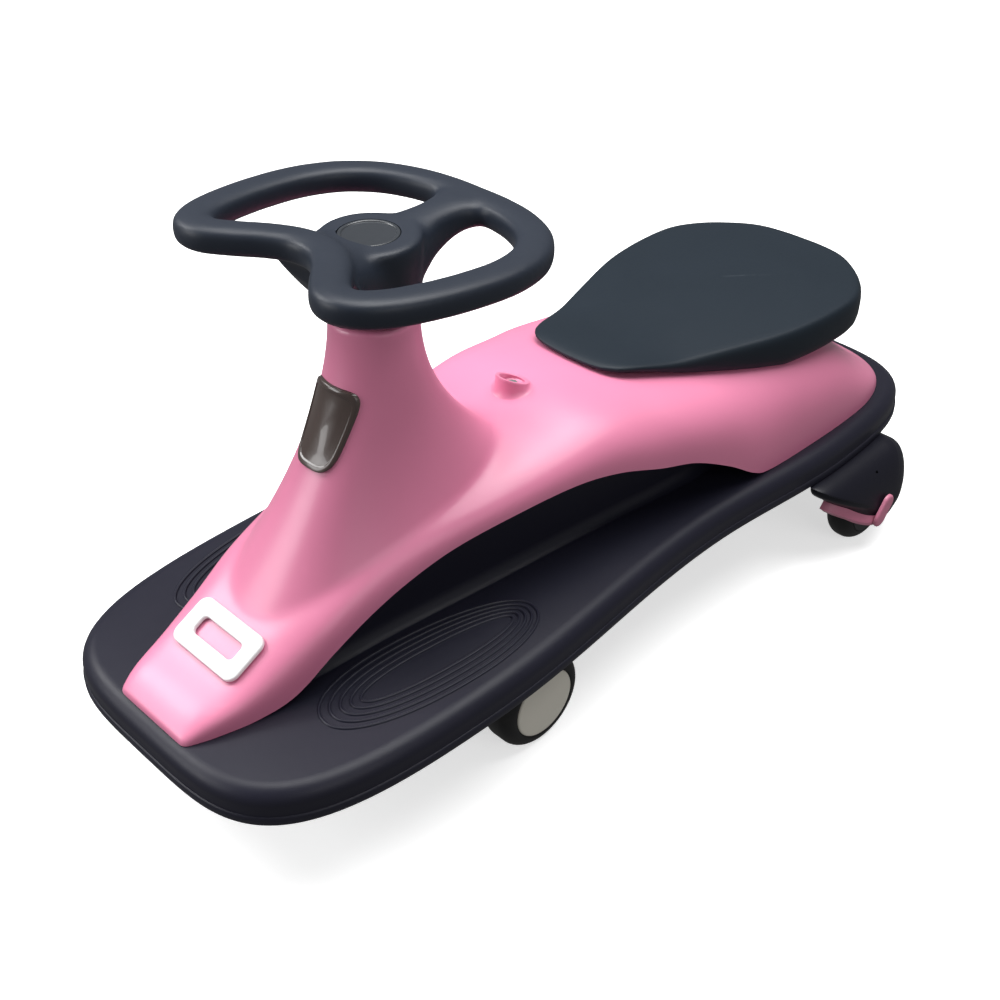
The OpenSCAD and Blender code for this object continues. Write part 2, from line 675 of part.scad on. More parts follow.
axle_len = hood_out - hood_in - axle_stop;
module fender_left() {
    color(black) hood();
}
module fender_right() {
    color(black) mirror([1, 0, 0]) hood();
}

// Pink strip along the lower edge of a hood, with a rounded tab at its outer end
trim_in = 0.4;
trim_t = 8.5;
// Where the strip lies round the hood from its inner end to its outer end, and how far round
// it runs, in rows
strip_shares = [[0.2, 3.7], [0.45, 3.72], [0.6, 3.8], [0.71, 3.97], [0.8, 4.4], [0.925, 4.95], [1, 5.25]];
strip_run = 0.72;
strip_n = 2;
function strip_row(u) = row(strip_shares, find(strip_shares, u, 0, len(strip_shares) - 1))[1];
function hood_spot(u, s, out) = let (line = hood_ring(u, hood_x(u), out),
    f = s * hood_n / (len(hood_shares) - 1), i = floor(f)) line[i] + (line[i + 1] - line[i]) * (f - i);
function strip_ring(u) = let (s = strip_row(u)) concat(
    [for (k = [0:strip_n]) hood_spot(u, s + strip_run * k / strip_n, trim_t)],
    [for (k = [strip_n:-1:0]) hood_spot(u, s + strip_run * k / strip_n, trim_in)]);
tab_r = 8.5;
tab_y0 = -6.5;
tab_z0 = 32.5;
tab_y1 = 2.5;
tab_z1 = 44.5;
tab_n = 24;
tab_t = 3.5;
// Height and edge shares of the tab's rounded face
tab_shares = [[0, 0], [0.5, 0], [0.85, 0.14], [1, 0.42]];
function tab_ring(x, r) = [for (k = [0:tab_n - 1]) let (a = 360 * (k + 0.5) / tab_n, c = [cos(a), sin(a)],
    d = [tab_y1 - tab_y0, tab_z1 - tab_z0], e = c * d > 0 ? [tab_y1, tab_z1] : [tab_y0, tab_z0])
    [x, rear_back + e.x + r * c.x, e.y + r * c.y]];
module hood_trim() {
    foot = strip_ring(1);
    ring_loft(concat([for (u = dome_shares) if (u >= strip_shares[0][0]) strip_ring(u)],
        [[for (p = foot) p + [tab_t / 2, 0, 0]]]));
    ring_loft([for (s = tab_shares) tab_ring(hood_out + trim_in + s[0] * tab_t, tab_r * (1 - s[1]))]);
}
module fender_trim_left() {
    color(pink) hood_trim();
}
module fender_trim_right() {
    color(pink) mirror([1, 0, 0]) hood_trim();
}

// Rear axles, one in each hood
module rear_axle(s) {
    color(steel) translate([s * (hood_in - nut_t), rear_back, rear_r]) rotate([0, s * 90, 0])
        cylinder(r = axle_r, h = axle_len + nut_t - fit_gap);
}
module rear_axle_left() {
    rear_axle(1);
}
module rear_axle_right() {
    rear_axle(-1);
}
nut_t = 4;
nut_wall = 4;
nut_r = axle_r + nut_wall;
module axle_nut() {
    difference() {
        cylinder(r = nut_r, h = nut_t);
        translate([0, 0, -over]) cylinder(r = axle_r + fit_gap, h = nut_t + 2 * over);
    }
}
module rear_axle_nuts() {
    color(steel) for (s = [-1, 1]) translate([s * (hood_in - seat_gap), rear_back, rear_r])
        rotate([0, -s * 90, 0]) axle_nut();
}

module fender_screws() {
    color(steel) for (s = [-1, 1], k = [-1, 1])
        translate([s * (hood_in - neck_in / 2), rear_back + k * hood_fix,
        roof_z - pad_h - neck_t - screw_head_t - fit_gap])
            screw_up(screw_head_t + neck_t + pad_h - fit_gap);
}
module base_screws() {
    color(steel) for (p = base_fix) translate([p.x, p.y, roof_z - rib_drop - screw_head_t - fit_gap])
        screw_up(screw_head_t + rib_drop + deck_t + min(fix_len, body_z(p.x, p.y) - foot_z - shell_wall)
            - over);
}
module seat_screws() {
    color(steel) for (k = seat_fix) translate([k.x, k.y, seat_head_z(k) - screw_head_t])
        screw_up(screw_head_t + body_z(k.x, k.y) - seat_head_z(k) + seat_bite - over);
}
module body_screw() {
    top = wall_roof(socket_y) + under_gap + shell_wall + socket_h - socket_deep;
    color(steel) translate([0, socket_y, top + fit_gap + screw_head_t]) mirror([0, 0, 1])
        screw_up(screw_head_t + socket_h - socket_deep + shell_wall + under_gap + fix_len - over);
}

// Steering wheel: the rim's middle line from the rear round the left to the front, in half
// widths of the wheel
rim_shares = [[0, 0.797], [0.203, 0.793], [0.43, 0.749], [0.648, 0.638], [0.808, 0.447], [0.881, 0.203],
    [0.883, -0.061], [0.848, -0.315], [0.782, -0.538], [0.68, -0.68], [0.548, -0.7], [0.416, -0.609],
    [0.274, -0.482], [0.132, -0.396], [0, -0.37]];
rim_steps = 28;
rim_sides = 14;
wheel_half = wheel_w / 2;
rim_half = [for (k = [0:rim_steps]) let (p = row(rim_shares, k * (len(rim_shares) - 1) / rim_steps))
    [p[0], p[1]] * wheel_half];
rim_line = concat([for (k = [rim_steps:-1:0]) rim_half[k]],
    [for (k = [1:rim_steps - 1]) [-rim_half[k].x, rim_half[k].y]]);
function rim_ring(i) = let (n = len(rim_line), p = rim_line[i], t = rim_line[(i + 1) % n]
    - rim_line[(i + n - 1) % n],
    o = [t.y, -t.x] / norm(t)) [for (k = [0:rim_sides - 1]) let (a = 360 * k / rim_sides)
    [p.x + o.x * pw(cos(a), rim_flat) * rim_sec_w / 2, steer_y + p.y + o.y * pw(cos(a), rim_flat)
        * rim_sec_w / 2, rim_mid + pw(sin(a), rim_flat) * rim_sec_h / 2]];
rim_flat = 0.75;
// Spokes: place along, half width, how far their top lies under the rim's, and depth, as shares
spoke_shares = [[0, 0.29, 0.42, 1.9], [0.24, 0.21, 0.35, 1.9], [0.44, 0.135, 0.21, 1.4],
    [0.6, 0.15, 0.12, 1], [0.72, 0.24, 0.09, 0.88], [0.79, 0.42, 0.085, 0.84]];
// Front web between the hub and the two front arms
web_shares = [[0, 0.28, 0.42, 1.9], [-0.16, 0.29, 0.36, 2.2],
    [-0.3, 0.34, 0.21, 2.1], [-0.42, 0.42, 0.1, 1.35]];
spoke_sides = 14;
spoke_h = 22;
spoke_flat = 0.75;
function spoke_ring(p) = [for (k = [0:spoke_sides - 1]) let (a = 360 * k / spoke_sides)
    [-p[1] * wheel_half * pw(cos(a), spoke_flat), steer_y + p[0] * wheel_half,
    rim_mid + spoke_h * (0.5 - p[2] - p[3] * (1 - pw(sin(a), spoke_flat)) / 2)]];
hub_low = 42;
hub_foot_d = 66;
hub_dip = 3;
cap_t = 4;
module steering_wheel() {
    color(dark) difference() {
        union() {
            translate([0, steer_y, rim_mid]) rotate([-rim_rake, 0, 0]) translate([0, -steer_y, -rim_mid])
            {
                loop_loft([for (i = [0:len(rim_line) - 1]) rim_ring(i)]);
                ring_loft([for (p = spoke_shares) spoke_ring(p)]);
                ring_loft(flipped([for (p = web_shares) spoke_ring(p)]));
            }
            translate([0, steer_y, 0]) rotate_extrude()
            polygon([[0, hub_base], [hub_foot_d / 2, hub_base], [hub_foot_d / 2, hub_base + hub_low / 2],
                [hub_d / 2, hub_base + hub_low], [hub_d / 2, hub_top - hub_dip],
                [hub_d / 2 - hub_dip, hub_top], [0, hub_top]]);
        }
        translate([0, steer_y, hub_base - over]) cylinder(r = shaft_r + fit_gap,
            h = shaft_up - hub_base + over);
        translate([0, steer_y, hub_top - cap_t]) cylinder(r = cap_d / 2 + fit_gap, h = cap_t + rim_sec_h);
        translate([-hub_d / 2, steer_y, bolt_z]) rotate([0, 90, 0])
            cylinder(r = bolt_r + fit_gap, h = hub_d);
        for (a = [-90, 90]) translate([0, steer_y, bolt_z]) rotate([0, a, 0]) translate([0, 0, bolt_half])
            cylinder(r = bolt_head_r + seat_gap, h = hub_d);
    }
}
hub_base = column_top + flange_t + run_gap;
hub_up = 1.5;
hub_top = rim_mid + hub_up;
shaft_down = 14;
shaft_up = rim_mid - shaft_down;
shaft_under = 8;
shaft_low = front_r - shaft_under;
bolt_r = 3;
bolt_up = 14;
bolt_z = hub_base + bolt_up;
bolt_head_r = 5;
bolt_head_t = 3;
bolt_sink = 1;
bolt_half = hub_foot_d / 2 - bolt_head_t - bolt_sink;

// Plain round cap with a raised ring
cap_ring = 2.4;
cap_step = 0.8;
module hub_cap() {
    color(dark) translate([0, steer_y, hub_top - cap_t + seat_gap]) difference() {
        cylinder(r = cap_d / 2, h = cap_t);
        translate([0, 0, cap_t - cap_step]) cylinder(r = cap_d / 2 - cap_ring, h = cap_step + over);
    }
}

module steering_shaft() {
    color(steel) difference() {
        translate([0, steer_y, shaft_low]) cylinder(r = shaft_r, h = shaft_up - shaft_low - fit_gap);
        for (z = [bolt_z, arm_bolt_z]) translate([-shaft_r - over, steer_y, z]) rotate([0, 90, 0])
            cylinder(r = bolt_r + fit_gap, h = 2 * shaft_r + 2 * over);
    }
}
arm_bolt_z = arm_top - bolt_up;

// Cross bolt with a head at one end and a nut at the other
module cross_bolt(half) {
    translate([-half, 0, 0]) rotate([0, 90, 0]) {
        cylinder(r = bolt_r, h = 2 * half);
        translate([0, 0, -bolt_head_t]) cylinder(r = bolt_head_r, h = bolt_head_t - fit_gap);
        translate([0, 0, 2 * half + fit_gap]) cylinder(r = bolt_head_r, h = bolt_head_t, $fn = 6);
        translate([0, 0, -bolt_head_t]) cylinder(r = bolt_r, h = 2 * half + 2 * bolt_head_t);
    }
}
module wheel_bolt() {
    color(steel) translate([0, steer_y, bolt_z]) cross_bolt(bolt_half);
}
module arm_bolt() {
    color(steel) translate([0, steer_y, arm_bolt_z]) cross_bolt(arm_hub_r);
}

// Front wheel carrier: a hub on the shaft and a cross tube behind it
arm_hub_r = 22;
arm_tube_r = 12;
arm_web = 10;
spacer = 3;
disc_out = 1;
arm_half = front_track / 2 - front_tyre_w - disc_out - spacer;
module swing_arm() {
    color(black) difference() {
        union() {
            translate([0, steer_y, front_r - arm_tube_r])
            cylinder(r = arm_hub_r, h = arm_top - front_r + arm_tube_r);
            translate([-arm_half, front_y, front_r]) rotate([0, 90, 0])
            cylinder(r = arm_tube_r, h = 2 * arm_half);
            translate([-arm_hub_r, steer_y, front_r - arm_tube_r])
            cube([2 * arm_hub_r, trail, 2 * arm_tube_r]);
            for (s = [-1, 1]) translate([s * arm_web - rib_t, steer_y, front_r])
            cube([2 * rib_t, trail, arm_top - front_r - boss_bite]);
            translate([-arm_half, front_y - rib_t, front_r])
            cube([2 * arm_half, 2 * rib_t, arm_tube_r + rib_t]);
        }
        translate([0, steer_y, shaft_low - fit_gap]) cylinder(r = shaft_r + fit_gap, h = arm_top);
        translate([-arm_half - over, front_y, front_r]) rotate([0, 90, 0])
            cylinder(r = axle_r + fit_gap, h = 2 * arm_half + 2 * over);
        translate([-arm_hub_r - over, steer_y, arm_bolt_z]) rotate([0, 90, 0])
            cylinder(r = bolt_r + fit_gap, h = 2 * arm_hub_r + 2 * over);
    }
}
module thrust_washer() {
    color(steel) translate([0, steer_y, arm_top + fit_gap]) difference() {
        cylinder(r = bush_r + flange_out, h = washer_t - fit_gap);
        translate([0, 0, -over]) cylinder(r = shaft_r + fit_gap, h = washer_t + 2 * over);
    }
}
disc_t = 4;
axle_half = front_track / 2 - disc_out - disc_t - run_gap;
module front_axle() {
    color(steel) translate([-axle_half, front_y, front_r]) rotate([0, 90, 0])
        cylinder(r = axle_r, h = 2 * axle_half);
}
module front_axle_nuts() {
    color(steel) for (s = [-1, 1]) translate([s * axle_half, front_y, front_r]) rotate([0, -s * 90, 0])
        axle_nut();
}

// Wheels: a tyre moulded round a hub that runs on two bearings
tyre_round = 10;
rear_round = 12;
hub_share = 0.72;
disc_r = min(disc_d / 2, front_r * hub_share - seat_gap);
web_t = 5;
module tyre_at(d, w, r) {
    bore = d / 2 * hub_share;
    crown = d / 2 - r;
    rotate_extrude() difference() {
        union() {
            for (s = [-1, 1]) translate([crown, s * (w / 2 - r)]) circle(r = r);
            translate([crown, r - w / 2]) square([r, w - 2 * r]);
            if (crown > bore) translate([bore, -w / 2]) square([crown - bore, w]);
        }
        translate([0, -w / 2 - over]) square([bore, w + 2 * over]);
    }
}
module hub(d, w, out, room) {
    r = d / 2 * hub_share - fit_gap;
    difference() {
        translate([0, 0, -w / 2]) cylinder(r = r, h = w - out);
        translate([0, 0, w / 2 - out - room - bear_w])
            cylinder(r = bear_r + fit_gap, h = bear_w + room + over);
        translate([0, 0, -w / 2 - over]) cylinder(r = bear_r + fit_gap, h = bear_w + over);
        translate([0, 0, -w / 2 - over]) cylinder(r = axle_r + run_gap, h = w + 2 * over);
    }
}
// Room for the axle's nut outside the outer bearing
nut_room = nut_t + 2 * run_gap;
module bearing() {
    difference() {
        cylinder(r = bear_r, h = bear_w);
        translate([0, 0, -over]) cylinder(r = axle_r + run_gap / 2, h = bear_w + 2 * over);
    }
}

module front_place(s) {
    translate([s * (front_track / 2 - disc_out - front_tyre_w / 2), front_y, front_r])
        rotate([0, s * 90, 0]) children();
}
module rear_place(s) {
    translate([s * rear_track / 2, rear_back, rear_r]) rotate([0, s * 90, 0]) children();
}
module front_tyre(s) {
    color("#1a1a1e") front_place(s) tyre_at(front_d, front_tyre_w, tyre_round);
}
module front_hub(s) {
    color(black) front_place(s) hub(front_d, front_tyre_w, disc_t, nut_room);
}
module front_disc(s) {
    color("#a19d92") front_place(s) translate([0, 0, front_tyre_w / 2 - disc_t + seat_gap])
        cylinder(r = disc_r, h = disc_t + disc_out - seat_gap);
}
module front_bearings(s) {
    color(steel) front_place(s) for (z = [front_tyre_w / 2 - disc_t - nut_room - bear_w,
        -front_tyre_w / 2]) translate([0, 0, z]) bearing();
}
module rear_tyre(s) {
    color("#1a1a1e") rear_place(s) tyre_at(rear_d, rear_tyre_w, rear_round);
}
module rear_hub(s) {
    color(black) rear_place(s) hub(rear_d, rear_tyre_w, 0, 0);
}
module rear_bearings(s) {
    color(steel) rear_place(s) for (z = [rear_tyre_w / 2 - bear_w, -rear_tyre_w / 2])
        translate([0, 0, z]) bearing();
}
module front_tyre_left() { front_tyre(1); }
module front_tyre_right() { front_tyre(-1); }
module front_hub_left() { front_hub(1); }
module front_hub_right() { front_hub(-1); }
module front_disc_left() { front_disc(1); }
module front_disc_right() { front_disc(-1); }
module front_bearings_left() { front_bearings(1); }
module front_bearings_right() { front_bearings(-1); }
module rear_tyre_left() { rear_tyre(1); }
module rear_tyre_right() { rear_tyre(-1); }
module rear_hub_left() { rear_hub(1); }
module rear_hub_right() { rear_hub(-1); }
module rear_bearings_left() { rear_bearings(1); }
module rear_bearings_right() { rear_bearings(-1); }

base_tray();
body_shell();
seat_pad();
nose_frame();
column_plate();
upper_bush();
lower_bush();
fender_left();
fender_right();
fender_trim_left();
fender_trim_right();
rear_axle_left();
rear_axle_right();
rear_axle_nuts();
fender_screws();
base_screws();
seat_screws();
body_screw();
steering_wheel();
hub_cap();
steering_shaft();
wheel_bolt();
swing_arm();
arm_bolt();
thrust_washer();
front_axle();
front_axle_nuts();
front_tyre_left();
front_hub_left();
front_disc_left();
front_bearings_left();
front_tyre_right();
front_hub_right();
front_disc_right();
front_bearings_right();
rear_tyre_left();
rear_hub_left();
rear_bearings_left();
rear_tyre_right();
rear_hub_right();
rear_bearings_right();
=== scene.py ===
import json
import math
import bmesh
import bpy
import numpy as np
from mathutils import Matrix, Vector, kdtree

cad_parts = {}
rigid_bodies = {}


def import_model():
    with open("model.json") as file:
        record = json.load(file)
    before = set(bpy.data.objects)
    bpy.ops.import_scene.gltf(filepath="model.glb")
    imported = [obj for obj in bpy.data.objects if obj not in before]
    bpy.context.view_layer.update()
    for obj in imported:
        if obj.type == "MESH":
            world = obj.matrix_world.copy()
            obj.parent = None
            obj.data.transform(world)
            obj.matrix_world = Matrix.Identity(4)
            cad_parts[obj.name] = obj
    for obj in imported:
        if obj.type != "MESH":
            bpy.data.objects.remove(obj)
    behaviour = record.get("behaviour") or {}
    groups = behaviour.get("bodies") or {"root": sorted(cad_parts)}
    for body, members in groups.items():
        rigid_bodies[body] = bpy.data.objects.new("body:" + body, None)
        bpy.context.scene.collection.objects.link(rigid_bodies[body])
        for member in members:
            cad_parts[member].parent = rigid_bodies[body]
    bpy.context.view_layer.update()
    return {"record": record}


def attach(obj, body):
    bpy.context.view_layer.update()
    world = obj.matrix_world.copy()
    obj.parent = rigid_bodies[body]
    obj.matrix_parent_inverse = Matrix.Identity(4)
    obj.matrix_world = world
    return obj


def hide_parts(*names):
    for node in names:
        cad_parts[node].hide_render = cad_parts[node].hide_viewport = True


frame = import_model()

# Camera and studio
# The camera stands off the toy's front left and looks down on it, from where the photograph was taken.
# A plain pale floor and large soft lights, named as the camera sees them, stand in for a white sweep.
camera_turn = math.radians(44.94)
camera_rise = math.radians(36.05)
camera_place = Vector((0.6222, -0.6728, 0.7624))
picture_px = 1000
focal_px = 1350
sensor_width = 36.0
sky_colour, sky_strength = (1.0, 1.0, 1.0, 1), 0.22

right = Vector((math.cos(camera_turn), math.sin(camera_turn), 0))
back = Vector((math.sin(camera_turn) * math.cos(camera_rise), -math.cos(camera_turn) * math.cos(camera_rise),
               math.sin(camera_rise)))
stand = Matrix((right, back.cross(right), back)).transposed().to_4x4()
stand.translation = camera_place
camera_data = bpy.data.cameras.new("camera")
camera_data.sensor_width = sensor_width
camera_data.lens = focal_px / picture_px * sensor_width
camera = bpy.data.objects.new("camera", camera_data)
camera.matrix_world = stand
bpy.context.collection.objects.link(camera)
bpy.context.scene.camera = camera
bpy.context.scene.view_settings.view_transform = "Standard"

sky = bpy.data.worlds.new("studio")
sky.use_nodes = True
sky.node_tree.nodes["Background"].inputs["Color"].default_value = sky_colour
sky.node_tree.nodes["Background"].inputs["Strength"].default_value = sky_strength
bpy.context.scene.world = sky


def soft_light(name, place, target, size, watts):
    """A round soft light that faces a target."""
    lamp = bpy.data.lights.new(name, "AREA")
    lamp.shape = "DISK"
    lamp.size = size
    lamp.energy = watts
    holder = bpy.data.objects.new(name, lamp)
    holder.location = place
    holder.rotation_euler = (Vector(target) - Vector(place)).to_track_quat("-Z", "Y").to_euler()
    bpy.context.collection.objects.link(holder)


soft_light("light_overhead", (-0.5, 0.2, 2.4), (0, 0, 0.1), 1.8, 48)
soft_light("light_rear", (0.4, 0.7, 2.4), (0, 0, 0.1), 1.8, 38)
soft_light("light_left", (-1.7, -1.0, 1.9), (0, -0.1, 0.2), 1.2, 40)
soft_light("light_front", (-1.1, -2.0, 1.0), (0, -0.1, 0.2), 1.2, 20)
soft_light("light_right", (2.2, -0.4, 1.4), (0, 0, 0.2), 1.6, 9)

floor_half, floor_steps = 5.0, 24
floor_looks = {"Base Color": (0.86, 0.86, 0.86, 1), "Roughness": 0.8, "Emission Color": (1.0, 1.0, 1.0, 1),
               "Emission Strength": 0.6}
grid = np.linspace(-floor_half, floor_half, floor_steps + 1)
row = floor_steps + 1
floor_faces = [(k, k + 1, k + row + 1, k + row)
               for j in range(floor_steps) for k in range(j * row, j * row + floor_steps)]
floor_mesh = bpy.data.meshes.new("studio_floor")
floor_mesh.from_pydata([(x, y, 0.0) for y in grid for x in grid], [], floor_faces)
studio_floor = bpy.data.objects.new("studio_floor", floor_mesh)
bpy.context.collection.objects.link(studio_floor)
floor_paint = bpy.data.materials.new("studio_floor_paint")
floor_paint.use_nodes = True
for socket, value in floor_looks.items():
    floor_paint.node_tree.nodes["Principled BSDF"].inputs[socket].default_value = value
floor_mesh.materials.append(floor_paint)
studio_floor.visible_diffuse = False
studio_floor.visible_glossy = False

# Footboard tray
# A shallow tray moulded in one piece from black plastic, with a rolled rim, foot treads and a centre wall.
# Ribs and screw bosses stiffen it from below, and the steering post is moulded into its underside.
# Shapes are worked out in millimetres from here on.
MM = 0.001
chassis = "chassis"
half_len = 392.0
front_w, waist_w, rear_w = 294.0, 262.0, 284.0
lobe_at, waist_at, rear_at = -0.5, 0.16, 0.6
nose_square, tail_square, corner = 6, 8, 0.25
deck_z, rim_round, rim_round_z, lip_in = 110.0, 14.0, 98.0, 1.2
steer_y = -168.0
weld_gap = 0.02


def through(shares, s):
    """A smooth curve through the rows of a table, at the places s counted in rows."""
    table = np.asarray(shares, float)
    i = np.clip(np.floor(s).astype(int), 0, len(table) - 2)
    t = (s - i)[..., None]
    p, q, r, w = (table[np.clip(i + k, 0, len(table) - 1)] for k in (-1, 0, 1, 2))
    return (2 * q + (r - p) * t + (2 * p - 5 * q + 4 * r - w) * t ** 2 + (3 * q - p - 3 * r + w) * t ** 3) / 2


def ease(a, b, t):
    """From a to b, slow at both ends, as t goes from 0 to 1."""
    return a + (b - a) * (1 - np.cos(np.pi * np.clip(t, 0, 1))) / 2


def power(v, e):
    """A power that keeps its base's sign."""
    return np.sign(v) * np.abs(v) ** e


def loft(rings, loop=False, caps=True):
    """Skins rings of equally many points; a loop joins the last ring to the first."""
    rings = np.asarray(rings, float)
    m, n = rings.shape[:2]
    faces = []
    for i in range(m if loop else m - 1):
        a, b = i * n, (i + 1) % m * n
        faces += [(a + j, a + (j + 1) % n, b + (j + 1) % n, b + j) for j in range(n)]
    if caps and not loop:
        faces += [tuple(range(n)), tuple(range((m - 1) * n, m * n))]
    return rings.reshape(-1, 3), faces


def turned(profile, centre, axis, n=72):
    """Turns a profile of radius and place along an axis; its two ends are closed flat."""
    r, h = np.asarray(profile, float).T
    a = np.linspace(0, 2 * np.pi, n, endpoint=False)
    rings = np.zeros((len(r), n, 3))
    u, v = [k for k in range(3) if k != axis]
    rings[:, :, u] = r[:, None] * np.cos(a)
    rings[:, :, v] = r[:, None] * np.sin(a)
    rings[:, :, axis] = h[:, None]
    return loft(rings + np.asarray(centre, float))


def slab(low, high):
    """A box between two corners."""
    (x0, y0, z0), (x1, y1, z1) = low, high
    ring = [(x0, y0), (x1, y0), (x1, y1), (x0, y1)]
    return loft([[(x, y, z) for x, y in ring] for z in (z0, z1)])


def joined(*parts):
    verts, faces, count = [], [], 0
    for v, f in parts:
        verts.append(v)
        faces += [tuple(k + count for k in face) for face in f]
        count += len(v)
    return np.concatenate(verts), faces


def mirrored(part):
    return part[0] * (-1, 1, 1), [face[::-1] for face in part[1]]


def shaped(name, part):
    """A new object from points in millimetres."""
    mesh = bpy.data.meshes.new(name)
    mesh.from_pydata((part[0] * MM).tolist(), [], part[1])
    solid = bmesh.new()
    solid.from_mesh(mesh)
    bmesh.ops.remove_doubles(solid, verts=solid.verts, dist=weld_gap * MM)
    bmesh.ops.recalc_face_normals(solid, faces=solid.faces)
    solid.to_mesh(mesh)
    solid.free()
    piece = bpy.data.objects.new(name, mesh)
    bpy.context.collection.objects.link(piece)
    return piece


def fit(piece, body, slot, finish, *nodes, sharp=40):
    """Gives a piece its finish, its body and the nodes that it stands for."""
    piece.data.materials.clear()
    piece.data.materials.append(finish)
    piece.data.shade_smooth()
    piece.data.set_sharp_from_angle(angle=math.radians(sharp))
    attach(piece, body)
    if nodes:
        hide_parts(*nodes)


class Shade:
    """A socket in a material's nodes; sums and products of sockets add Math nodes."""

    def __init__(self, tree, socket=None):
        self.tree, self.socket = tree, socket

    def node(self, kind, settings=None, inputs=None, out=0):
        node = self.tree.nodes.new("ShaderNode" + kind)
        for key, value in (settings or {}).items():
            setattr(node, key, value)
        for key, value in (inputs or {}).items():
            if isinstance(value, Shade):
                self.tree.links.new(value.socket, node.inputs[key])
            else:
                node.inputs[key].default_value = value
        return Shade(self.tree, node.outputs[out])

    def noise(self, place, scale, detail, distortion=0.0):
        return self.node("TexNoise", None, {"Vector": place, "Scale": scale, "Detail": detail,
                                            "Distortion": distortion})

    def __add__(self, other):
        return self.node("Math", {"operation": "ADD"}, {0: self, 1: other})

    def __mul__(self, other):
        return self.node("Math", {"operation": "MULTIPLY"}, {0: self, 1: other})

    def mix(self, a, b):
        """From colour a to colour b as this value goes from 0 to 1, by the node's colour sockets."""
        return self.node("Mix", {"data_type": "RGBA"}, {0: self, 6: a, 7: b}, 2)

    def between(self, low, high):
        """This value's share of the way from low to high."""
        return self.node("MapRange", None, {0: self, 1: low, 2: high})


def finish_of(name, **sockets):
    """A new material with its even values set, its shader node and a start for its other nodes."""
    material = bpy.data.materials.new(name)
    material.use_nodes = True
    shader = material.node_tree.nodes["Principled BSDF"]
    for key, value in sockets.items():
        shader.inputs[key.replace("_", " ")].default_value = value
    return material, shader, Shade(material.node_tree)


def moulded(name, colour, worn, rough, grain, depth, streak=0.06, **sockets):
    """Moulded plastic: a fine grain, faint flow marks in the colour, uneven gloss and edges rubbed paler."""
    flow_gloss, spot_gloss, rub_gloss, rub_share, bump_share = 0.1, 0.08, 0.1, 0.5, 0.6
    edge_from, edge_to = 0.53, 0.62
    material, shader, start = finish_of(name, **sockets)
    place = start.node("TexCoord", out="Object")
    flow = start.noise(place, 9.0, 4.0, 0.6)
    spots = start.noise(place, 160.0, 3.0)
    fine = start.noise(place, 1 / (grain * MM), 2.0)
    edge = start.node("NewGeometry", out="Pointiness").between(edge_from, edge_to)
    rubbed = edge * spots.between(0.35, 0.65) * rub_share
    dim = tuple(c * (1 - streak) for c in colour) + (1,)
    tone = flow.between(0.3, 0.7).mix(dim, tuple(colour) + (1,))
    even_gloss = rough - (flow_gloss + spot_gloss) / 2
    gloss = flow * flow_gloss + spots * spot_gloss + rubbed * rub_gloss + even_gloss
    bump = start.node("Bump", None, {"Height": fine, "Distance": depth * MM, "Strength": bump_share})
    link = material.node_tree.links.new
    link(rubbed.mix(tone, tuple(worn) + (1,)).socket, shader.inputs["Base Color"])
    link(gloss.socket, shader.inputs["Roughness"])
    link(bump.socket, shader.inputs["Normal"])
    return material


def outward(line):
    """Level unit normals of a closed line that runs anticlockwise."""
    step = np.roll(line, -1, 0) - np.roll(line, 1, 0)
    step /= np.linalg.norm(step, axis=1)[:, None]
    return np.stack([step[:, 1], -step[:, 0]], 1)


def inset(line, d):
    return line - d * outward(line)


def level(line, z):
    return np.column_stack([line, np.full(len(line), z)])


def tray_half(y):
    """Half the tray's width at a place along the car."""
    u = y / half_len
    mid = np.where(u < waist_at, ease(front_w, waist_w, (u - lobe_at) / (waist_at - lobe_at)),
                   ease(waist_w, rear_w, (u - waist_at) / (rear_at - waist_at))) / 2
    return mid * np.clip(1 - np.abs(u) ** np.where(u < 0, nose_square, tail_square), 0, 1) ** corner


tray_y = -half_len * np.cos(np.linspace(0, np.pi, 201))
tray_line = np.concatenate([np.column_stack([tray_half(tray_y), tray_y]),
                            np.column_stack([-tray_half(tray_y), tray_y])[-2:0:-1]])
# Rim section from under the deck, down the inside, round the foot and up to the deck: inset and height
turn = np.radians(np.linspace(0, 90, 10))
rim_profile = [(10, 107), (6, 103.5), (4, 99), (3, 94), (3, 83.7), (2.4, 83), (0.9, 83), (0.2, 83.3), (0, 84),
               (0, 89.2), (0.3, 89.8), (1.1, 90.2), (lip_in, 90.8)]
rim_profile += [(lip_in + (rim_round - lip_in) * (1 - math.cos(b)),
                 rim_round_z + (deck_z - rim_round_z) * math.sin(b)) for b in turn]
tray_parts = [loft([level(inset(tray_line, d), z) for d, z in rim_profile])]

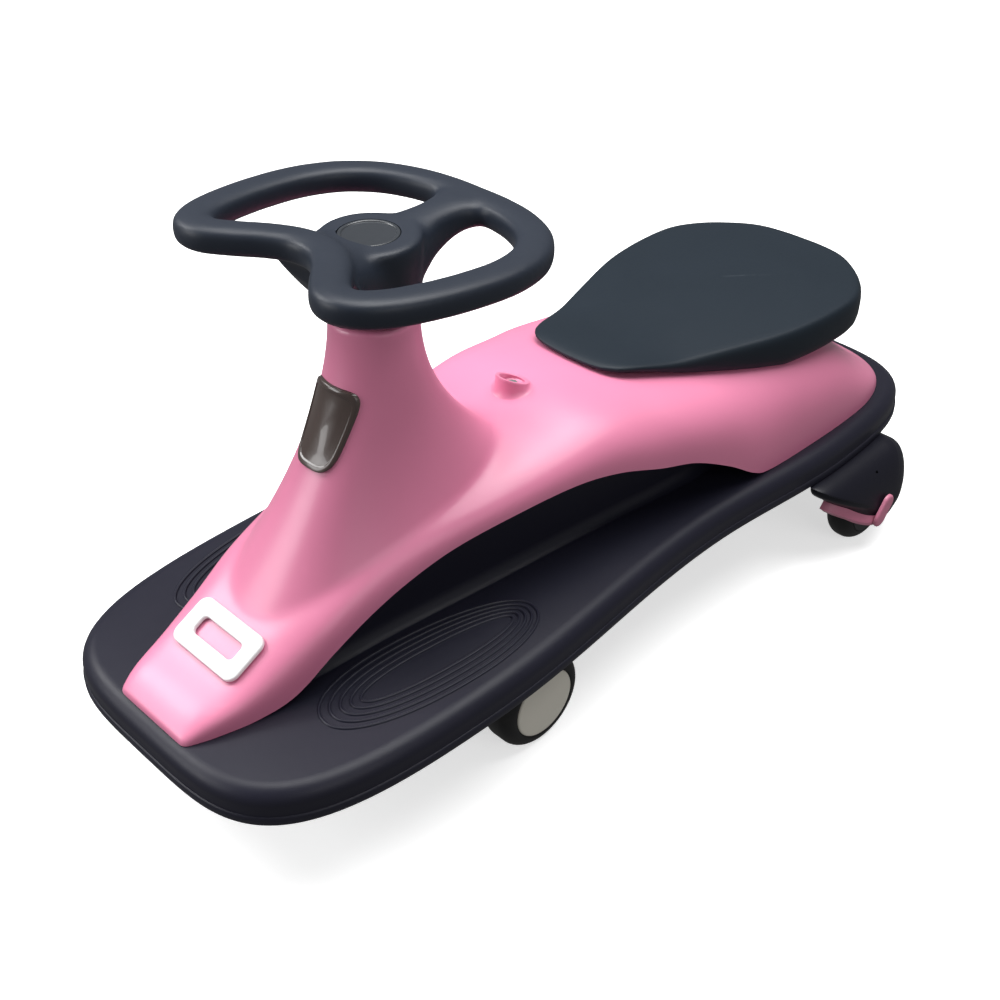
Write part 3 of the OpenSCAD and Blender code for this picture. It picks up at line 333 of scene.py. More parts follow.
# Sections of the pink shell along the car, which the tray's centre wall follows inside.
# Each row gives a place along, half width, lower edge and ridge as shares, and how square the section is.
body_half = 131.0
foot_z, arch_top, ridge_top, shell_wall = 110.3, 74.0, 98.0, 3.0
body_shares = [
    [-0.972, 0.285, 0, 0.045, 5], [-0.93, 0.335, 0, 0.145, 5], [-0.86, 0.39, 0, 0.24, 5],
    [-0.775, 0.437, 0.08, 0.42, 4.5], [-0.69, 0.472, 0.37, 0.61, 4], [-0.61, 0.49, 0.585, 0.77, 3.4],
    [-0.525, 0.515, 0.76, 0.9, 3], [-0.43, 0.558, 0.905, 0.97, 2.8], [-0.31, 0.617, 0.985, 1.02, 2.8],
    [-0.155, 0.682, 1.01, 1.105, 2.8], [-0.045, 0.732, 0.93, 1.165, 2.8], [0.065, 0.79, 0.755, 1.135, 2.8],
    [0.155, 0.84, 0.635, 1.07, 3], [0.255, 0.882, 0.37, 1, 3.2], [0.335, 0.912, 0.1, 0.975, 3.1],
    [0.39, 0.922, 0.012, 0.965, 3.1], [0.515, 0.935, 0, 0.945, 3.1], [0.665, 0.936, 0, 0.815, 2.9],
    [0.785, 0.905, 0, 0.5, 2.6], [0.875, 0.8, 0, 0.215, 2.5], [0.93, 0.6, 0, 0.085, 2.5],
    [0.955, 0.32, 0, 0.035, 2.5]]
body_rows = through(body_shares, np.linspace(0, len(body_shares) - 1, 1500))


def body_at(y):
    """Half width, lower edge, ridge height and squareness of the shell at a place along the car."""
    u = np.asarray(y) / half_len
    half, arch, ridge, square = (np.interp(u, body_rows[:, 0], body_rows[:, k]) for k in range(1, 5))
    return half * body_half, foot_z + np.maximum(arch, 0) * arch_top, foot_z + ridge * ridge_top, square


def body_z(x, y):
    """Height of the shell's skin, without the column."""
    w, low, top, n = body_at(y)
    return low + (top - low) * np.clip(1 - np.minimum(np.abs(x) / w, 1) ** n, 0, 1) ** (1 / n)


wall_from, wall_to = -0.8 * half_len, 0.44 * half_len
wall_in, wall_most, wall_gap, wall_flare, wall_square = 0.66, 0.58, 6.0, 12.0, 6
wall_foot, wall_least = deck_z - 1, 0.5
bend = np.radians(np.linspace(0, 90, 7))
half_round = np.linspace(0, np.pi, 49)
wall_rings = []
for y in np.linspace(wall_from, wall_to, 90):
    half, _, ridge, _ = body_at(y)
    w = min(half * wall_in, wall_most * body_half)
    top = max(ridge - shell_wall - wall_gap, deck_z + 1)
    rise = max(top - deck_z - wall_flare, wall_least)
    foot = [(w + wall_flare * (1 - math.sin(b)), wall_foot + wall_flare * (1 - math.cos(b)))
            for b in bend[:-1]]
    arc = np.column_stack([w * power(np.cos(half_round), 2 / wall_square),
                           wall_foot + wall_flare + rise * np.sin(half_round) ** (2 / wall_square)])
    line = np.concatenate([foot, arc, np.array(foot)[::-1] * (-1, 1)])
    wall_rings.append(np.column_stack([line[:, 0], np.full(len(line), y), line[:, 1]]))
tray_parts.append(loft(wall_rings))

# Foot treads: ridges round each sole, widest apart at the front end
tread_x, tread_y, tread_turn = 92.0, -208.0, math.radians(5)
tread_half_w, tread_half_l, tread_square, tread_lean = 34.0, 94.0, 0.9, 0.1
tread_step_w, tread_step_l, tread_shift = 5.0, 6.4, 1.4
ridge_count, ridge_w, ridge_h, ridge_sink = 5, 2.6, 1.4, 0.2
ridge_arc = np.radians(np.linspace(0, 180, 9))
ridge_profile = [(ridge_w / 2 * (1 - math.cos(b)), deck_z - ridge_sink + ridge_h * math.sin(b))
                 for b in ridge_arc]
around = np.linspace(0, 2 * np.pi, 120, endpoint=False)
c, s = math.cos(tread_turn), math.sin(tread_turn)
for k in range(ridge_count):
    oval = np.column_stack([
        (tread_half_w - tread_step_w * k) * power(np.cos(around), tread_square),
        (tread_half_l - tread_step_l * k) * power(np.sin(around), tread_square) + tread_shift * k])
    oval[:, 0] *= 1 - tread_lean * oval[:, 1] / tread_half_l * (oval[:, 0] < 0)
    sole = oval @ np.array([[c, -s], [s, c]]) + (tread_x, tread_y)
    tread = loft([level(inset(sole, d), z) for d, z in ridge_profile], caps=False)
    tray_parts += [tread, mirrored(tread)]

# Underside: ribs, screw bosses and the post that holds the lower bush
rib_low, rib_high, rib_half_t, rib_x, rim_gap = 95.0, 107.5, 1.25, 46.0, 8.0
rib_shares = (-0.82, -0.62, -0.08, 0.14, 0.36, 0.58, 0.86)
for share in rib_shares:
    w, y = float(tray_half(np.array(share * half_len))) - rim_gap, share * half_len
    tray_parts.append(slab((-w, y - rib_half_t, rib_low), (w, y + rib_half_t, rib_high)))
for x in (-rib_x, rib_x):
    tray_parts.append(slab((x - rib_half_t, rib_shares[0] * half_len, rib_low),
                           (x + rib_half_t, rib_shares[-1] * half_len, rib_high)))
post_r, bush_r, post_low, post_high, post_edge = 21.2, 15.3, 85.5, 119.0, 1.0
tray_parts.append(turned([(bush_r, post_low), (post_r - post_edge, post_low), (post_r, post_low + post_edge),
                          (post_r, post_high), (bush_r, post_high)], (0, steer_y, 0), 2))
boss_r, boss_edge, boss_high = 5.5, 0.5, 108.0
boss_profile = [(0, rib_low), (boss_r - boss_edge, rib_low), (boss_r, rib_low + boss_edge),
                (boss_r, boss_high), (0, boss_high)]
shell_fix = [(0, -330), (88, 196), (-88, 196), (62, 318), (-62, 318)]
hood_fix = [(119, 246), (119, 286), (-119, 246), (-119, 286)]
for x, y in shell_fix + hood_fix:
    tray_parts.append(turned(boss_profile, (x, y, 0), 2, 32))

tray = shaped("footboard", joined(*tray_parts))
tray_plastic = moulded("footboard_plastic", (0.011, 0.011, 0.021), (0.035, 0.035, 0.05), 0.42, 0.9, 0.05,
                       Specular_IOR_Level=0.26)
fit(tray, chassis, "footboard_plastic", tray_plastic, "base_tray")

# Body shell with its column
# One blow-moulded shell of satin pink plastic: nose, steering column, arches and the hump under the seat.
# It stands on the tray's deck and is screwed to it from below; its lower edge is trimmed along the arches.
column_top, column_r, skirt_z = 337.0, 31.0, 94.0
foot_half, foot_front, foot_rear, foot_square, foot_sink = 59.0, 134.0, 94.0, 2.3, 2.2
flare_front, flare_rear = 1.7, 2.2
shell_grain = 2.4
half_round = np.linspace(0, np.pi, 61)
body_rings = []
for share, half, arch, ridge, n in through(body_shares, np.linspace(0, len(body_shares) - 1, 170)):
    w, low, top = half * body_half, foot_z + max(arch, 0) * arch_top, foot_z + ridge * ridge_top
    x = np.concatenate([[w], w * power(np.cos(half_round), 2 / n), [-w]])
    z = np.concatenate([[skirt_z], low + (top - low) * np.sin(half_round) ** (2 / n), [skirt_z]])
    body_rings.append(np.column_stack([x, np.full(len(x), share * half_len), z]))


def column_point(a, t=None, z=None):
    """A point of the column at an angle, by its share of the way down or by its height."""
    s = np.sin(a)
    foot_x = foot_half * power(np.cos(a), 2 / foot_square)
    foot_y = power(s, 2 / foot_square) * np.where(s < 0, foot_front, foot_rear)
    flare = np.where(s < 0, ease(flare_rear, flare_front, -s), flare_rear)
    low = body_z(foot_x, steer_y + foot_y) - foot_sink
    t = (column_top - z) / (column_top - low) if t is None else t
    g = np.clip(t, 0, None) ** flare
    x = column_r * np.cos(a) * (1 - g) + foot_x * g
    y = column_r * s * (1 - g) + foot_y * g
    return np.stack([x, steer_y + y, column_top + (low - column_top) * t], -1)


def settle(piece):
    """Applies a piece's modifiers."""
    bpy.context.view_layer.update()
    mesh = bpy.data.meshes.new_from_object(piece.evaluated_get(bpy.context.evaluated_depsgraph_get()))
    piece.modifiers.clear()
    piece.data = mesh


column = loft([column_point(around, t=np.full(len(around), t)) for t in np.linspace(1, 0, 60)])
shell = shaped("body_shell_moulding", joined(loft(body_rings), column))
remesh = shell.modifiers.new("cast", "REMESH")
remesh.mode = "VOXEL"
remesh.voxel_size = shell_grain * MM
settle(shell)

# The column's foot runs into the shell in a soft hollow
hollow_reach, hollow_turns, polish_turns = 17.0, 18, 6
foot_line = column_point(around, t=np.ones(len(around))) * MM
foot_tree = kdtree.KDTree(len(foot_line))
for i, p in enumerate(foot_line):
    foot_tree.insert(p, i)
foot_tree.balance()
hollow = shell.vertex_groups.new(name="hollow")
for v in shell.data.vertices:
    d = foot_tree.find(v.co)[2] / MM
    if d < hollow_reach:
        hollow.add([v.index], 1 - d / hollow_reach, "REPLACE")
for name, group, turns in (("blend", "hollow", hollow_turns), ("polish", "", polish_turns)):
    smooth = shell.modifiers.new(name, "SMOOTH")
    smooth.factor = 0.5
    smooth.iterations = turns
    smooth.vertex_group = group
settle(shell)


def carve(piece, part):
    """Cuts a solid out of a piece."""
    tool = shaped("tool", part)
    cut = piece.modifiers.new("cut", "BOOLEAN")
    cut.operation = "DIFFERENCE"
    cut.solver = "EXACT"
    cut.object = tool
    settle(piece)
    bpy.data.objects.remove(tool)


def rod(r, low, high, centre, axis, n=72):
    return turned([(0, low), (r, low), (r, high), (0, high)], centre, axis, n)


# The arches and the bush's bore are cut, and the cut faces taken off before the skin gets its wall
cut_half, cut_low, cut_run, cut_end = 160.0, 60.0, 390.0, 400.0
bore_low, bore_high = 290.0, 350.0
facing_down, edge_reach = -0.3, 0.3
arch_y = np.concatenate([[-cut_end], np.linspace(-cut_run, cut_run, 240), [cut_end]])
arch_ring = np.concatenate([np.column_stack([arch_y, body_at(arch_y)[1]]),
                            [(cut_end, cut_low), (-cut_end, cut_low)]])
carve(shell, loft([[(x, y, z) for y, z in arch_ring] for x in (-cut_half, cut_half)]))
carve(shell, rod(bush_r, bore_low, bore_high, (0, steer_y, 0), 2))


def on_cut(face):
    """Whether a face looks down and lies along the arches' edge."""
    mid = face.calc_center_median()
    return face.normal.z < facing_down and mid.z / MM < body_at(mid.y / MM)[1] + edge_reach


edit = bmesh.new()
edit.from_mesh(shell.data)
bmesh.ops.delete(edit, geom=[f for f in edit.faces if on_cut(f)], context="FACES")
bmesh.ops.delete(edit, geom=[v for v in edit.verts if not v.link_faces], context="VERTS")
edit.to_mesh(shell.data)
edit.free()
wall = shell.modifiers.new("wall", "SOLIDIFY")
wall.thickness = shell_wall * MM
wall.offset = -1
settle(shell)

# Collar behind the column: its slanted top runs into the shell at the rear, round a recess with a screw.
# The rows give a radius with a share of the collar's rise, then one with a height above the recess's floor.
socket_y, socket_r, socket_bore, socket_rise, socket_deep = -36.0, 13.0, 9.5, 13.0, 12.0
socket_slant = math.tan(math.radians(23))
socket_top = float(body_z(0, socket_y)) + socket_rise
collar_least = 0.5
collar_sides = ((18, -0.05), (16, 0.02), (14.6, 0.12), (13.6, 0.35), (socket_r, 0.75), (socket_r - 0.1, 0.93),
                (socket_r - 0.5, 0.99), (socket_r - 1, 1), (socket_bore + 1.2, 1), (socket_bore + 0.6, 0.98),
                (socket_bore + 0.2, 0.9))
collar_floor = ((socket_bore, 0.6), (socket_bore - 0.8, 0.1), (socket_bore - 2, 0), (0.1, 0))
collar = []
for r, share in collar_sides:
    x, y = r * np.cos(around), socket_y + r * np.sin(around)
    base = body_z(x, y)
    lip = socket_top - socket_slant * (y - socket_y + socket_r)
    collar.append(np.column_stack([x, y, base + np.maximum(lip - base, collar_least) * share]))
for r, z in collar_floor:
    circle = np.column_stack([r * np.cos(around), socket_y + r * np.sin(around)])
    collar.append(level(circle, socket_top - socket_deep + z))
boss = shaped("shell_collar", loft(collar, caps=False))

shell_plastic = moulded("shell_plastic", (0.70, 0.215, 0.355), (0.80, 0.38, 0.52), 0.36, 1.4, 0.02,
                        streak=0.05, Coat_Weight=0.15, Coat_Roughness=0.25)
fit(shell, chassis, "shell_plastic", shell_plastic, "body_shell", sharp=50)
fit(boss, chassis, "shell_plastic", shell_plastic)

# Seat
# A firm dark slate seat, blow moulded with a rounded edge, thin at its front tip and thick behind.
# It lies on the shell's hump and is held by four screws from inside.
seat_front, seat_len, seat_half, seat_mid = 24.0, 330.0, 105.5, 222.0
seat_edge_z, seat_crown, seat_rise, seat_rise_run = 219.0, 5.0, 9.0, 0.23
seat_tip_t, seat_t, seat_thin_to, seat_thick_from = 5.0, 31.0, 0.085, 0.48
seat_gap_mid, seat_gap_edge, seat_tuck = 2.6, 1.6, 0.965
# Outline: place along and half width, as shares
seat_shares = [[0, 0], [0.002, 0.133], [0.007, 0.256], [0.02, 0.365], [0.05, 0.455], [0.115, 0.54],
               [0.2, 0.635], [0.285, 0.73], [0.358, 0.81], [0.448, 0.905], [0.539, 0.972], [0.661, 1.01],
               [0.785, 0.99], [0.876, 0.85], [0.946, 0.63], [0.984, 0.43], [0.998, 0.2], [1, 0]]
along, half = through(seat_shares, np.linspace(0, len(seat_shares) - 1, 113)).T
seat_side = np.column_stack([np.maximum(half, 0) * seat_half, seat_front + along * seat_len])
seat_line = np.concatenate([seat_side, seat_side[-2:0:-1] * (-1, 1)])


def seat_edge(y):
    """Height of the seat's upper edge, which rises towards the tip."""
    return seat_edge_z + ease(seat_rise, 0, (y - seat_front) / (seat_len * seat_rise_run))


def seat_low(x, y, share):
    """Height of the seat's underside, which clears the shell."""
    along = (y - seat_front) / seat_len
    t = ease(seat_tip_t, seat_t, (along - seat_thin_to) / (seat_thick_from - seat_thin_to))
    return np.maximum(body_z(x, y) + ease(seat_gap_mid, seat_gap_edge, share), seat_edge(y) - t)


# Section from the middle of the underside round the edge to the top's middle: shares of outline and height
seat_profile = ((0.02, 0), (0.3, 0), (0.55, 0), (0.75, 0), (0.9, 0), (0.955, 0), (0.975, 0.03), (0.99, 0.12),
                (0.998, 0.28), (1, 0.5), (0.999, 0.68), (0.994, 0.82), (0.984, 0.92), (0.97, 0.98), (0.95, 1),
                (0.9, 1), (0.8, 1), (0.65, 1), (0.45, 1), (0.2, 1), (0.02, 1))
seat_rings = []
for share, rise in seat_profile:
    x = seat_line[:, 0] * share
    y = seat_mid + (seat_line[:, 1] - seat_mid) * share
    under = min(share, seat_tuck)
    low = seat_low(seat_line[:, 0] * under, seat_mid + (seat_line[:, 1] - seat_mid) * under, under)
    top = seat_edge(y) + seat_crown * (1 - share ** 2)
    seat_rings.append(np.column_stack([x, y, low + (top - low) * rise]))
seat = shaped("seat_moulding", loft(seat_rings))
seat_plastic = moulded("seat_plastic", (0.0085, 0.0145, 0.022), (0.04, 0.05, 0.06), 0.5, 0.8, 0.06,
                       Specular_IOR_Level=0.22)
fit(seat, chassis, "seat_plastic", seat_plastic, "seat_pad")

# Nose frame and column plate
# A white moulded frame with an open slot is pressed onto the nose.
# A plain brown plate with a raised border is pressed onto the front of the column and follows its curve.
frame_y, frame_w, frame_l, frame_t, frame_round = -0.818 * half_len, 70.0, 38.0, 3.0, 8.0
frame_lift = 0.8
slot_w, slot_l, slot_round = 44.0, 14.0, 4.0
frame_low, frame_high = body_z(0, frame_y - frame_l / 2), body_z(0, frame_y + frame_l / 2)
frame_mid = (frame_low + frame_high) / 2
slope = math.atan((frame_high - frame_low) / frame_l)


def round_rect(w, l, r):
    a = np.linspace(0, np.pi / 2, 12)
    x, y = w / 2 - r + r * np.cos(a), l / 2 - r + r * np.sin(a)
    quarter = np.column_stack([x, y])
    return np.concatenate([quarter, quarter[::-1] * (-1, 1), quarter * (-1, -1), quarter[::-1] * (1, -1)])


# Section from the foot outside over the top to the foot of the slot: width, length, corner and height
frame_profile = ((frame_w, frame_l, frame_round, 0), (frame_w, frame_l, frame_round, frame_t - 1.2),
                 (frame_w - 0.6, frame_l - 0.6, frame_round - 0.3, frame_t - 0.4),
                 (frame_w - 2.4, frame_l - 2.4, frame_round - 1, frame_t),
                 (slot_w + 2.4, slot_l + 2.4, slot_round + 1, frame_t),
                 (slot_w + 0.6, slot_l + 0.6, slot_round, frame_t - 0.5),
                 (slot_w, slot_l, slot_round, frame_t - 1.2), (slot_w, slot_l, slot_round, 0))
frame_rings = []
for w, l, r, z in frame_profile:
    x, along = round_rect(w, l, r).T
    y = along * math.cos(slope) - z * math.sin(slope)
    h = along * math.sin(slope) + z * math.cos(slope)
    frame_rings.append(np.column_stack([x, frame_y + y, frame_mid + frame_lift + h]))
nose_frame = shaped("nose_frame_moulding", loft(frame_rings, loop=True))
frame_plastic = moulded("frame_plastic", (0.83, 0.83, 0.83), (0.9, 0.9, 0.9), 0.3, 1.2, 0.01, streak=0.03,
                        Coat_Weight=0.3)
fit(nose_frame, chassis, "frame_plastic", frame_plastic, "nose_frame", sharp=55)

plate_z, plate_half_h, plate_half_w, plate_square, plate_taper = 270.0, 27.0, 23.0, 5, 0.11


def column_front(x, z):
    """Place along the car of the column's front, at points given across it and by height."""
    a = np.radians(np.linspace(0, -90, 181))
    out = np.empty(len(x))
    for i in range(len(x)):
        p = column_point(a, z=z[i])
        out[i] = np.interp(abs(x[i]), p[::-1, 0], p[::-1, 1])
    return out


# Section from the edge over the border to the middle: share of the outline, and height above the column
plate_profile = ((1, 0.4), (1, 2.5), (0.985, 3.0), (0.95, 3.2), (0.9, 3.2), (0.875, 2.9), (0.86, 2.3),
                 (0.84, 2.2), (0.6, 2.4), (0.3, 2.6), (0.02, 2.65))
a = np.linspace(0, 2 * np.pi, 96, endpoint=False)
plate_rings = []
for share, lift in plate_profile:
    v = power(np.sin(a), 2 / plate_square)
    x = share * (1 + plate_taper * (v - 1)) * power(np.cos(a), 2 / plate_square) * plate_half_w
    z = plate_z + share * v * plate_half_h
    plate_rings.append(np.column_stack([x, column_front(x, z) - lift, z]))
plate = shaped("column_plate_moulding", loft(plate_rings))
plate_plastic = moulded("plate_plastic", (0.055, 0.037, 0.032), (0.2, 0.16, 0.13), 0.3, 0.7, 0.02,
                        Coat_Weight=0.4)
fit(plate, chassis, "plate_plastic", plate_plastic, "column_plate")

# Rear wheel hoods with their pink trim
# Each hood is a hollow black moulding screwed under the tray, open below for the tyre.
# A pink strip is pressed along its lower front edge and ends in a rounded tab on its outer side.
rear_y, rear_r, rear_x, rear_half_w, rear_shoulder = 266.0, 38.0, 148.5, 13.5, 12.0
hood_in, hood_out, hood_top, pocket_r, pocket_gap = 127.0, 174.0, 82.7, 39.2, 2.0
hood_w = hood_out - hood_in
# Side outline: place along in tyre pockets and height, as shares
hood_shares = [[1.05, 1], [-1.61, 1], [-1.81, 0.955], [-1.76, 0.87], [-1.33, 0.71], [-0.885, 0.503],
               [-0.45, 0.335], [-0.08, 0.25], [0.306, 0.266], [0.727, 0.363], [1.097, 0.472], [1.365, 0.599],
               [1.467, 0.762], [1.352, 0.919], [1.05, 1]]
hood_core = np.array([0.3 * pocket_r, 0.4 * hood_top])
hood_straight, hood_pinch, hood_low_pull = 0.3, 0.4, 0.4
hood_close, hood_close_from, hood_close_to = 0.93, 2.3, 0.62


def hood_at(s, u, out=0.0):
    """Points of a hood's side outline, counted in rows of the table, at a share of the way across it."""
    s = np.asarray(s)
    first, second = np.array(hood_shares[:2])
    p = np.where(s[:, None] < 1, first + (second - first) * s[:, None], through(hood_shares, s))
    p = np.column_stack([p[:, 0] * pocket_r, np.minimum(p[:, 1], 1) * hood_top])
    p[:, 0] += np.maximum(hood_core[0] - p[:, 0], 0) * hood_pinch * max(1 - u / hood_straight, 0) ** 2
    past = max(u - hood_straight, 0) / (1 - hood_straight)
    closing = hood_close * (1 - (1 - past ** hood_close_from) ** hood_close_to)
    p += (hood_core - p) * (closing * (hood_low_pull + (1 - hood_low_pull) * p[:, 1:] / hood_top))
    return p if out == 0 else inset(p, -out)


def across(x, line):
    """Points of a side outline, at one place across the car."""
    return np.column_stack([np.full(len(line), x), rear_y + line[:, 0], line[:, 1]])


hood_s = np.linspace(0, len(hood_shares) - 1, 140, endpoint=False)
hood_u = np.concatenate([np.linspace(0, hood_straight, 9)[:-1],
                         hood_straight + (1 - hood_straight) * np.sin(np.linspace(0, np.pi / 2, 44))])
hood_rings = [across(hood_in + u * hood_w, hood_at(hood_s, u)) for u in hood_u]
end = hood_rings[-1]
end_shares, end_bulge = (0.8, 0.5, 0.2, 0.03), 0.15
for share in end_shares:
    hood_rings.append(end.mean(0) + (end - end.mean(0)) * share + (end_bulge * (1 - share ** 2), 0, 0))


def tyre_profile(r, half_w, shoulder, inner):
    """Round shoulders and flat side walls, with broken edges at the bore or closed at the axis."""
    edge_r, edge_out, edge_in = 0.6, 0.2, 0.8
    a = np.radians(np.linspace(0, 90, 14))
    side = [(r - shoulder + shoulder * math.sin(b), half_w - shoulder + shoulder * math.cos(b)) for b in a]
    wall = [(inner, half_w - edge_in), (inner + edge_r, half_w - edge_out)] if inner else [(0, half_w)]
    upper = wall + [(p, h) for p, h in side if p > inner + edge_r]
    return [(p, -h) for p, h in upper] + [(p, h) for p, h in upper[::-1]]


hood = shaped("hood_left", loft(hood_rings))
pocket = tyre_profile(pocket_r, rear_half_w + pocket_gap, rear_shoulder, 0)
carve(hood, turned(pocket, (rear_x, rear_y, rear_r), 0))
neck_in, neck_t, neck_half, neck_low, neck_high, neck_lap, neck_sink = 16.0, 4.0, 30.0, 95.0, 101.0, 0.2, 1.0
neck_front, neck_rear = rear_y - neck_half, rear_y + neck_half
neck = shaped("hood_neck_left", joined(
    slab((hood_in - neck_in, neck_front, neck_low), (hood_in + neck_t, neck_rear, neck_high)),
    slab((hood_in, neck_front, hood_top - neck_sink), (hood_in + neck_t, neck_rear, neck_low + neck_lap))))

# The strip's route: share of the way across the hood, and where it starts in rows of the outline
strip_places = [[0.36, 3.84], [0.48, 3.86], [0.6, 3.93], [0.71, 4.08], [0.8, 4.48], [0.925, 5.0], [1, 5.27]]
strip_run, strip_over, strip_in, strip_out, strip_end = 0.5, 0.05, 0.4, 8.5, 1.6
side_edge, face_edge = 0.12, 0.03
strip_rings = []
for u, s in through(strip_places, np.linspace(0, len(strip_places) - 1, 60)):
    rows = s + np.linspace(0, strip_run, 14)
    rows = np.concatenate([[rows[0] - strip_over], rows, [rows[-1] + strip_over]])
    inner, outer = (hood_at(rows, min(u, 1), d)[1:-1] for d in (strip_in, strip_out))
    sides = inner * side_edge + outer * (1 - side_edge)
    section = np.concatenate([sides[:1], [outer[0] * (1 - face_edge) + outer[1] * face_edge], outer[1:-1],
                              [outer[-1] * (1 - face_edge) + outer[-2] * face_edge], sides[-1:], inner[::-1]])
    strip_rings.append(across(hood_in + min(u, 1) * hood_w, section))
strip_rings.append(strip_rings[-1] + (strip_end, 0, 0))
# The tab's section: share of its thickness, and how far its outline is drawn in
tab_low, tab_high, tab_r, tab_t = np.array([-6.5, 32.5]), np.array([2.5, 44.5]), 8.5, 3.5
tab_profile = ((0, 0.06), (0.06, 0), (0.4, 0), (0.62, 0.03), (0.8, 0.1), (0.92, 0.2), (0.98, 0.32), (1, 0.46),
               (1, 0.8))
tab_start = 0.01
a = np.linspace(0, 2 * np.pi, 72, endpoint=False) + tab_start
around_tab = np.column_stack([np.cos(a), np.sin(a)])
tab_ends = np.where((around_tab @ (tab_high - tab_low))[:, None] > 0, tab_high, tab_low)
tab_rings = [across(hood_out + strip_in + share * tab_t, tab_ends + around_tab * tab_r * (1 - shrink))
             for share, shrink in tab_profile]
trim = shaped("hood_trim_left", joined(loft(strip_rings), loft(tab_rings)))

fender_plastic = moulded("fender_plastic", (0.006, 0.006, 0.012), (0.025, 0.025, 0.035), 0.4, 0.9, 0.04,
                         Specular_IOR_Level=0.25)
trim_plastic = moulded("trim_plastic", (0.62, 0.2, 0.31), (0.75, 0.38, 0.48), 0.38, 1.2, 0.02)
for piece, slot_name, finish, node in ((hood, "fender_plastic", fender_plastic, "fender_"),
                                       (neck, "fender_plastic", fender_plastic, ""),
                                       (trim, "trim_plastic", trim_plastic, "fender_trim_")):
    twin = bpy.data.objects.new(piece.name.replace("left", "right"), piece.data.copy())
    bpy.context.collection.objects.link(twin)
    twin.data.transform(Matrix.Diagonal((-1, 1, 1, 1)))
    twin.data.flip_normals()
    for side, item in (("left", piece), ("right", twin)):
        fit(item, chassis, slot_name, finish, *([node + side] if node else []))

# Steering wheel and its cap
# One blow-moulded wheel of dark slate plastic: a fat rim, a rear spoke and a front web on a deep hub.
# The hub is pinned to the shaft by a cross bolt, and a plain round cap is pressed into its top.
steering = "steering"
rim_mid, wheel_half, rim_rake = 392.0, 116.0, math.radians(4)
rim_half_w, rim_half_h, rim_flat = 13.0, 9.5, 0.75
fillet = 7.0
# Half of the rim's middle line, from the rear round to the front: across and along, as shares
rim_shares = [[0, 0.797], [0.203, 0.793], [0.43, 0.749], [0.648, 0.638], [0.808, 0.447], [0.881, 0.203],
              [0.883, -0.061], [0.848, -0.315], [0.782, -0.538], [0.68, -0.68], [0.548, -0.7],
              [0.416, -0.609], [0.274, -0.482], [0.132, -0.396], [0, -0.37]]
rim_half = through(rim_shares, np.linspace(0, len(rim_shares) - 1, 85)) * wheel_half
rim_line = np.concatenate([rim_half[::-1], rim_half[1:-1] * (-1, 1)])
a = np.linspace(0, 2 * np.pi, 36, endpoint=False)
rim_x = power(np.cos(a), rim_flat) * (rim_half_w + fillet)
rim_z = power(np.sin(a), rim_flat) * (rim_half_h + fillet)
rim = loft([np.column_stack([p[0] + o[0] * rim_x, p[1] + o[1] * rim_x, rim_z])
            for p, o in zip(rim_line, outward(rim_line))], loop=True)
# Spoke and web sections: place along, half width, how far the top lies under the rim's, and depth
spoke_shares = [[0, 0.29, 0.42, 1.9], [0.24, 0.21, 0.35, 1.9], [0.44, 0.135, 0.21, 1.4], [0.6, 0.15, 0.12, 1],
                [0.72, 0.24, 0.09, 0.88], [0.79, 0.42, 0.085, 0.84]]
web_shares = [[0, 0.28, 0.42, 1.9], [-0.16, 0.29, 0.36, 2.2], [-0.3, 0.34, 0.21, 2.1],
              [-0.42, 0.42, 0.1, 1.35]]
spoke_h, spoke_flat = 22.0, 0.75
arms = []
for shares in (spoke_shares, web_shares):
    arm_rings = []
    for along, half, drop, depth in through(shares, np.linspace(0, len(shares) - 1, 40)):
        x = (half * wheel_half + fillet) * power(np.cos(a), spoke_flat)
        rise = (spoke_h * depth / 2 + fillet) * power(np.sin(a), spoke_flat)
        arm_rings.append(np.column_stack([x, np.full(len(a), along * wheel_half),
                                          spoke_h * (0.5 - drop - depth / 2) + rise]))
    arms.append(loft(arm_rings))
points, faces = joined(rim, *arms)
x, y, z = points.T
c, s = math.cos(rim_rake), math.sin(rim_rake)
tilted = np.column_stack([x, y * c + z * s + steer_y, z * c - y * s + rim_mid])
hub_base, hub_top, hub_r, hub_round, hub_high = 339.9, 393.5, 35.0, 3.0, 42.0
hub_foot_r, hub_foot_round, hub_waist_r, hub_waist_high = 31.0, 2.0, 33.0, 21.0
foot_turn, top_turn = hub_foot_round + fillet, hub_round + fillet
hub_side = [(0, hub_base - fillet)]
hub_side += [(hub_foot_r + foot_turn * math.sin(b), hub_base + hub_foot_round - foot_turn * math.cos(b))
             for b in turn]
hub_side += [(hub_waist_r + fillet, hub_base + hub_waist_high), (hub_r + fillet, hub_base + hub_high)]
hub_side += [(hub_r - hub_round + top_turn * math.cos(b), hub_top - hub_round + top_turn * math.sin(b))
             for b in turn]
hub_side += [(0, hub_top + fillet)]
hub = turned(hub_side, (0, steer_y, 0), 2)
wheel = shaped("steering_wheel_moulding", joined((tilted, faces), hub))
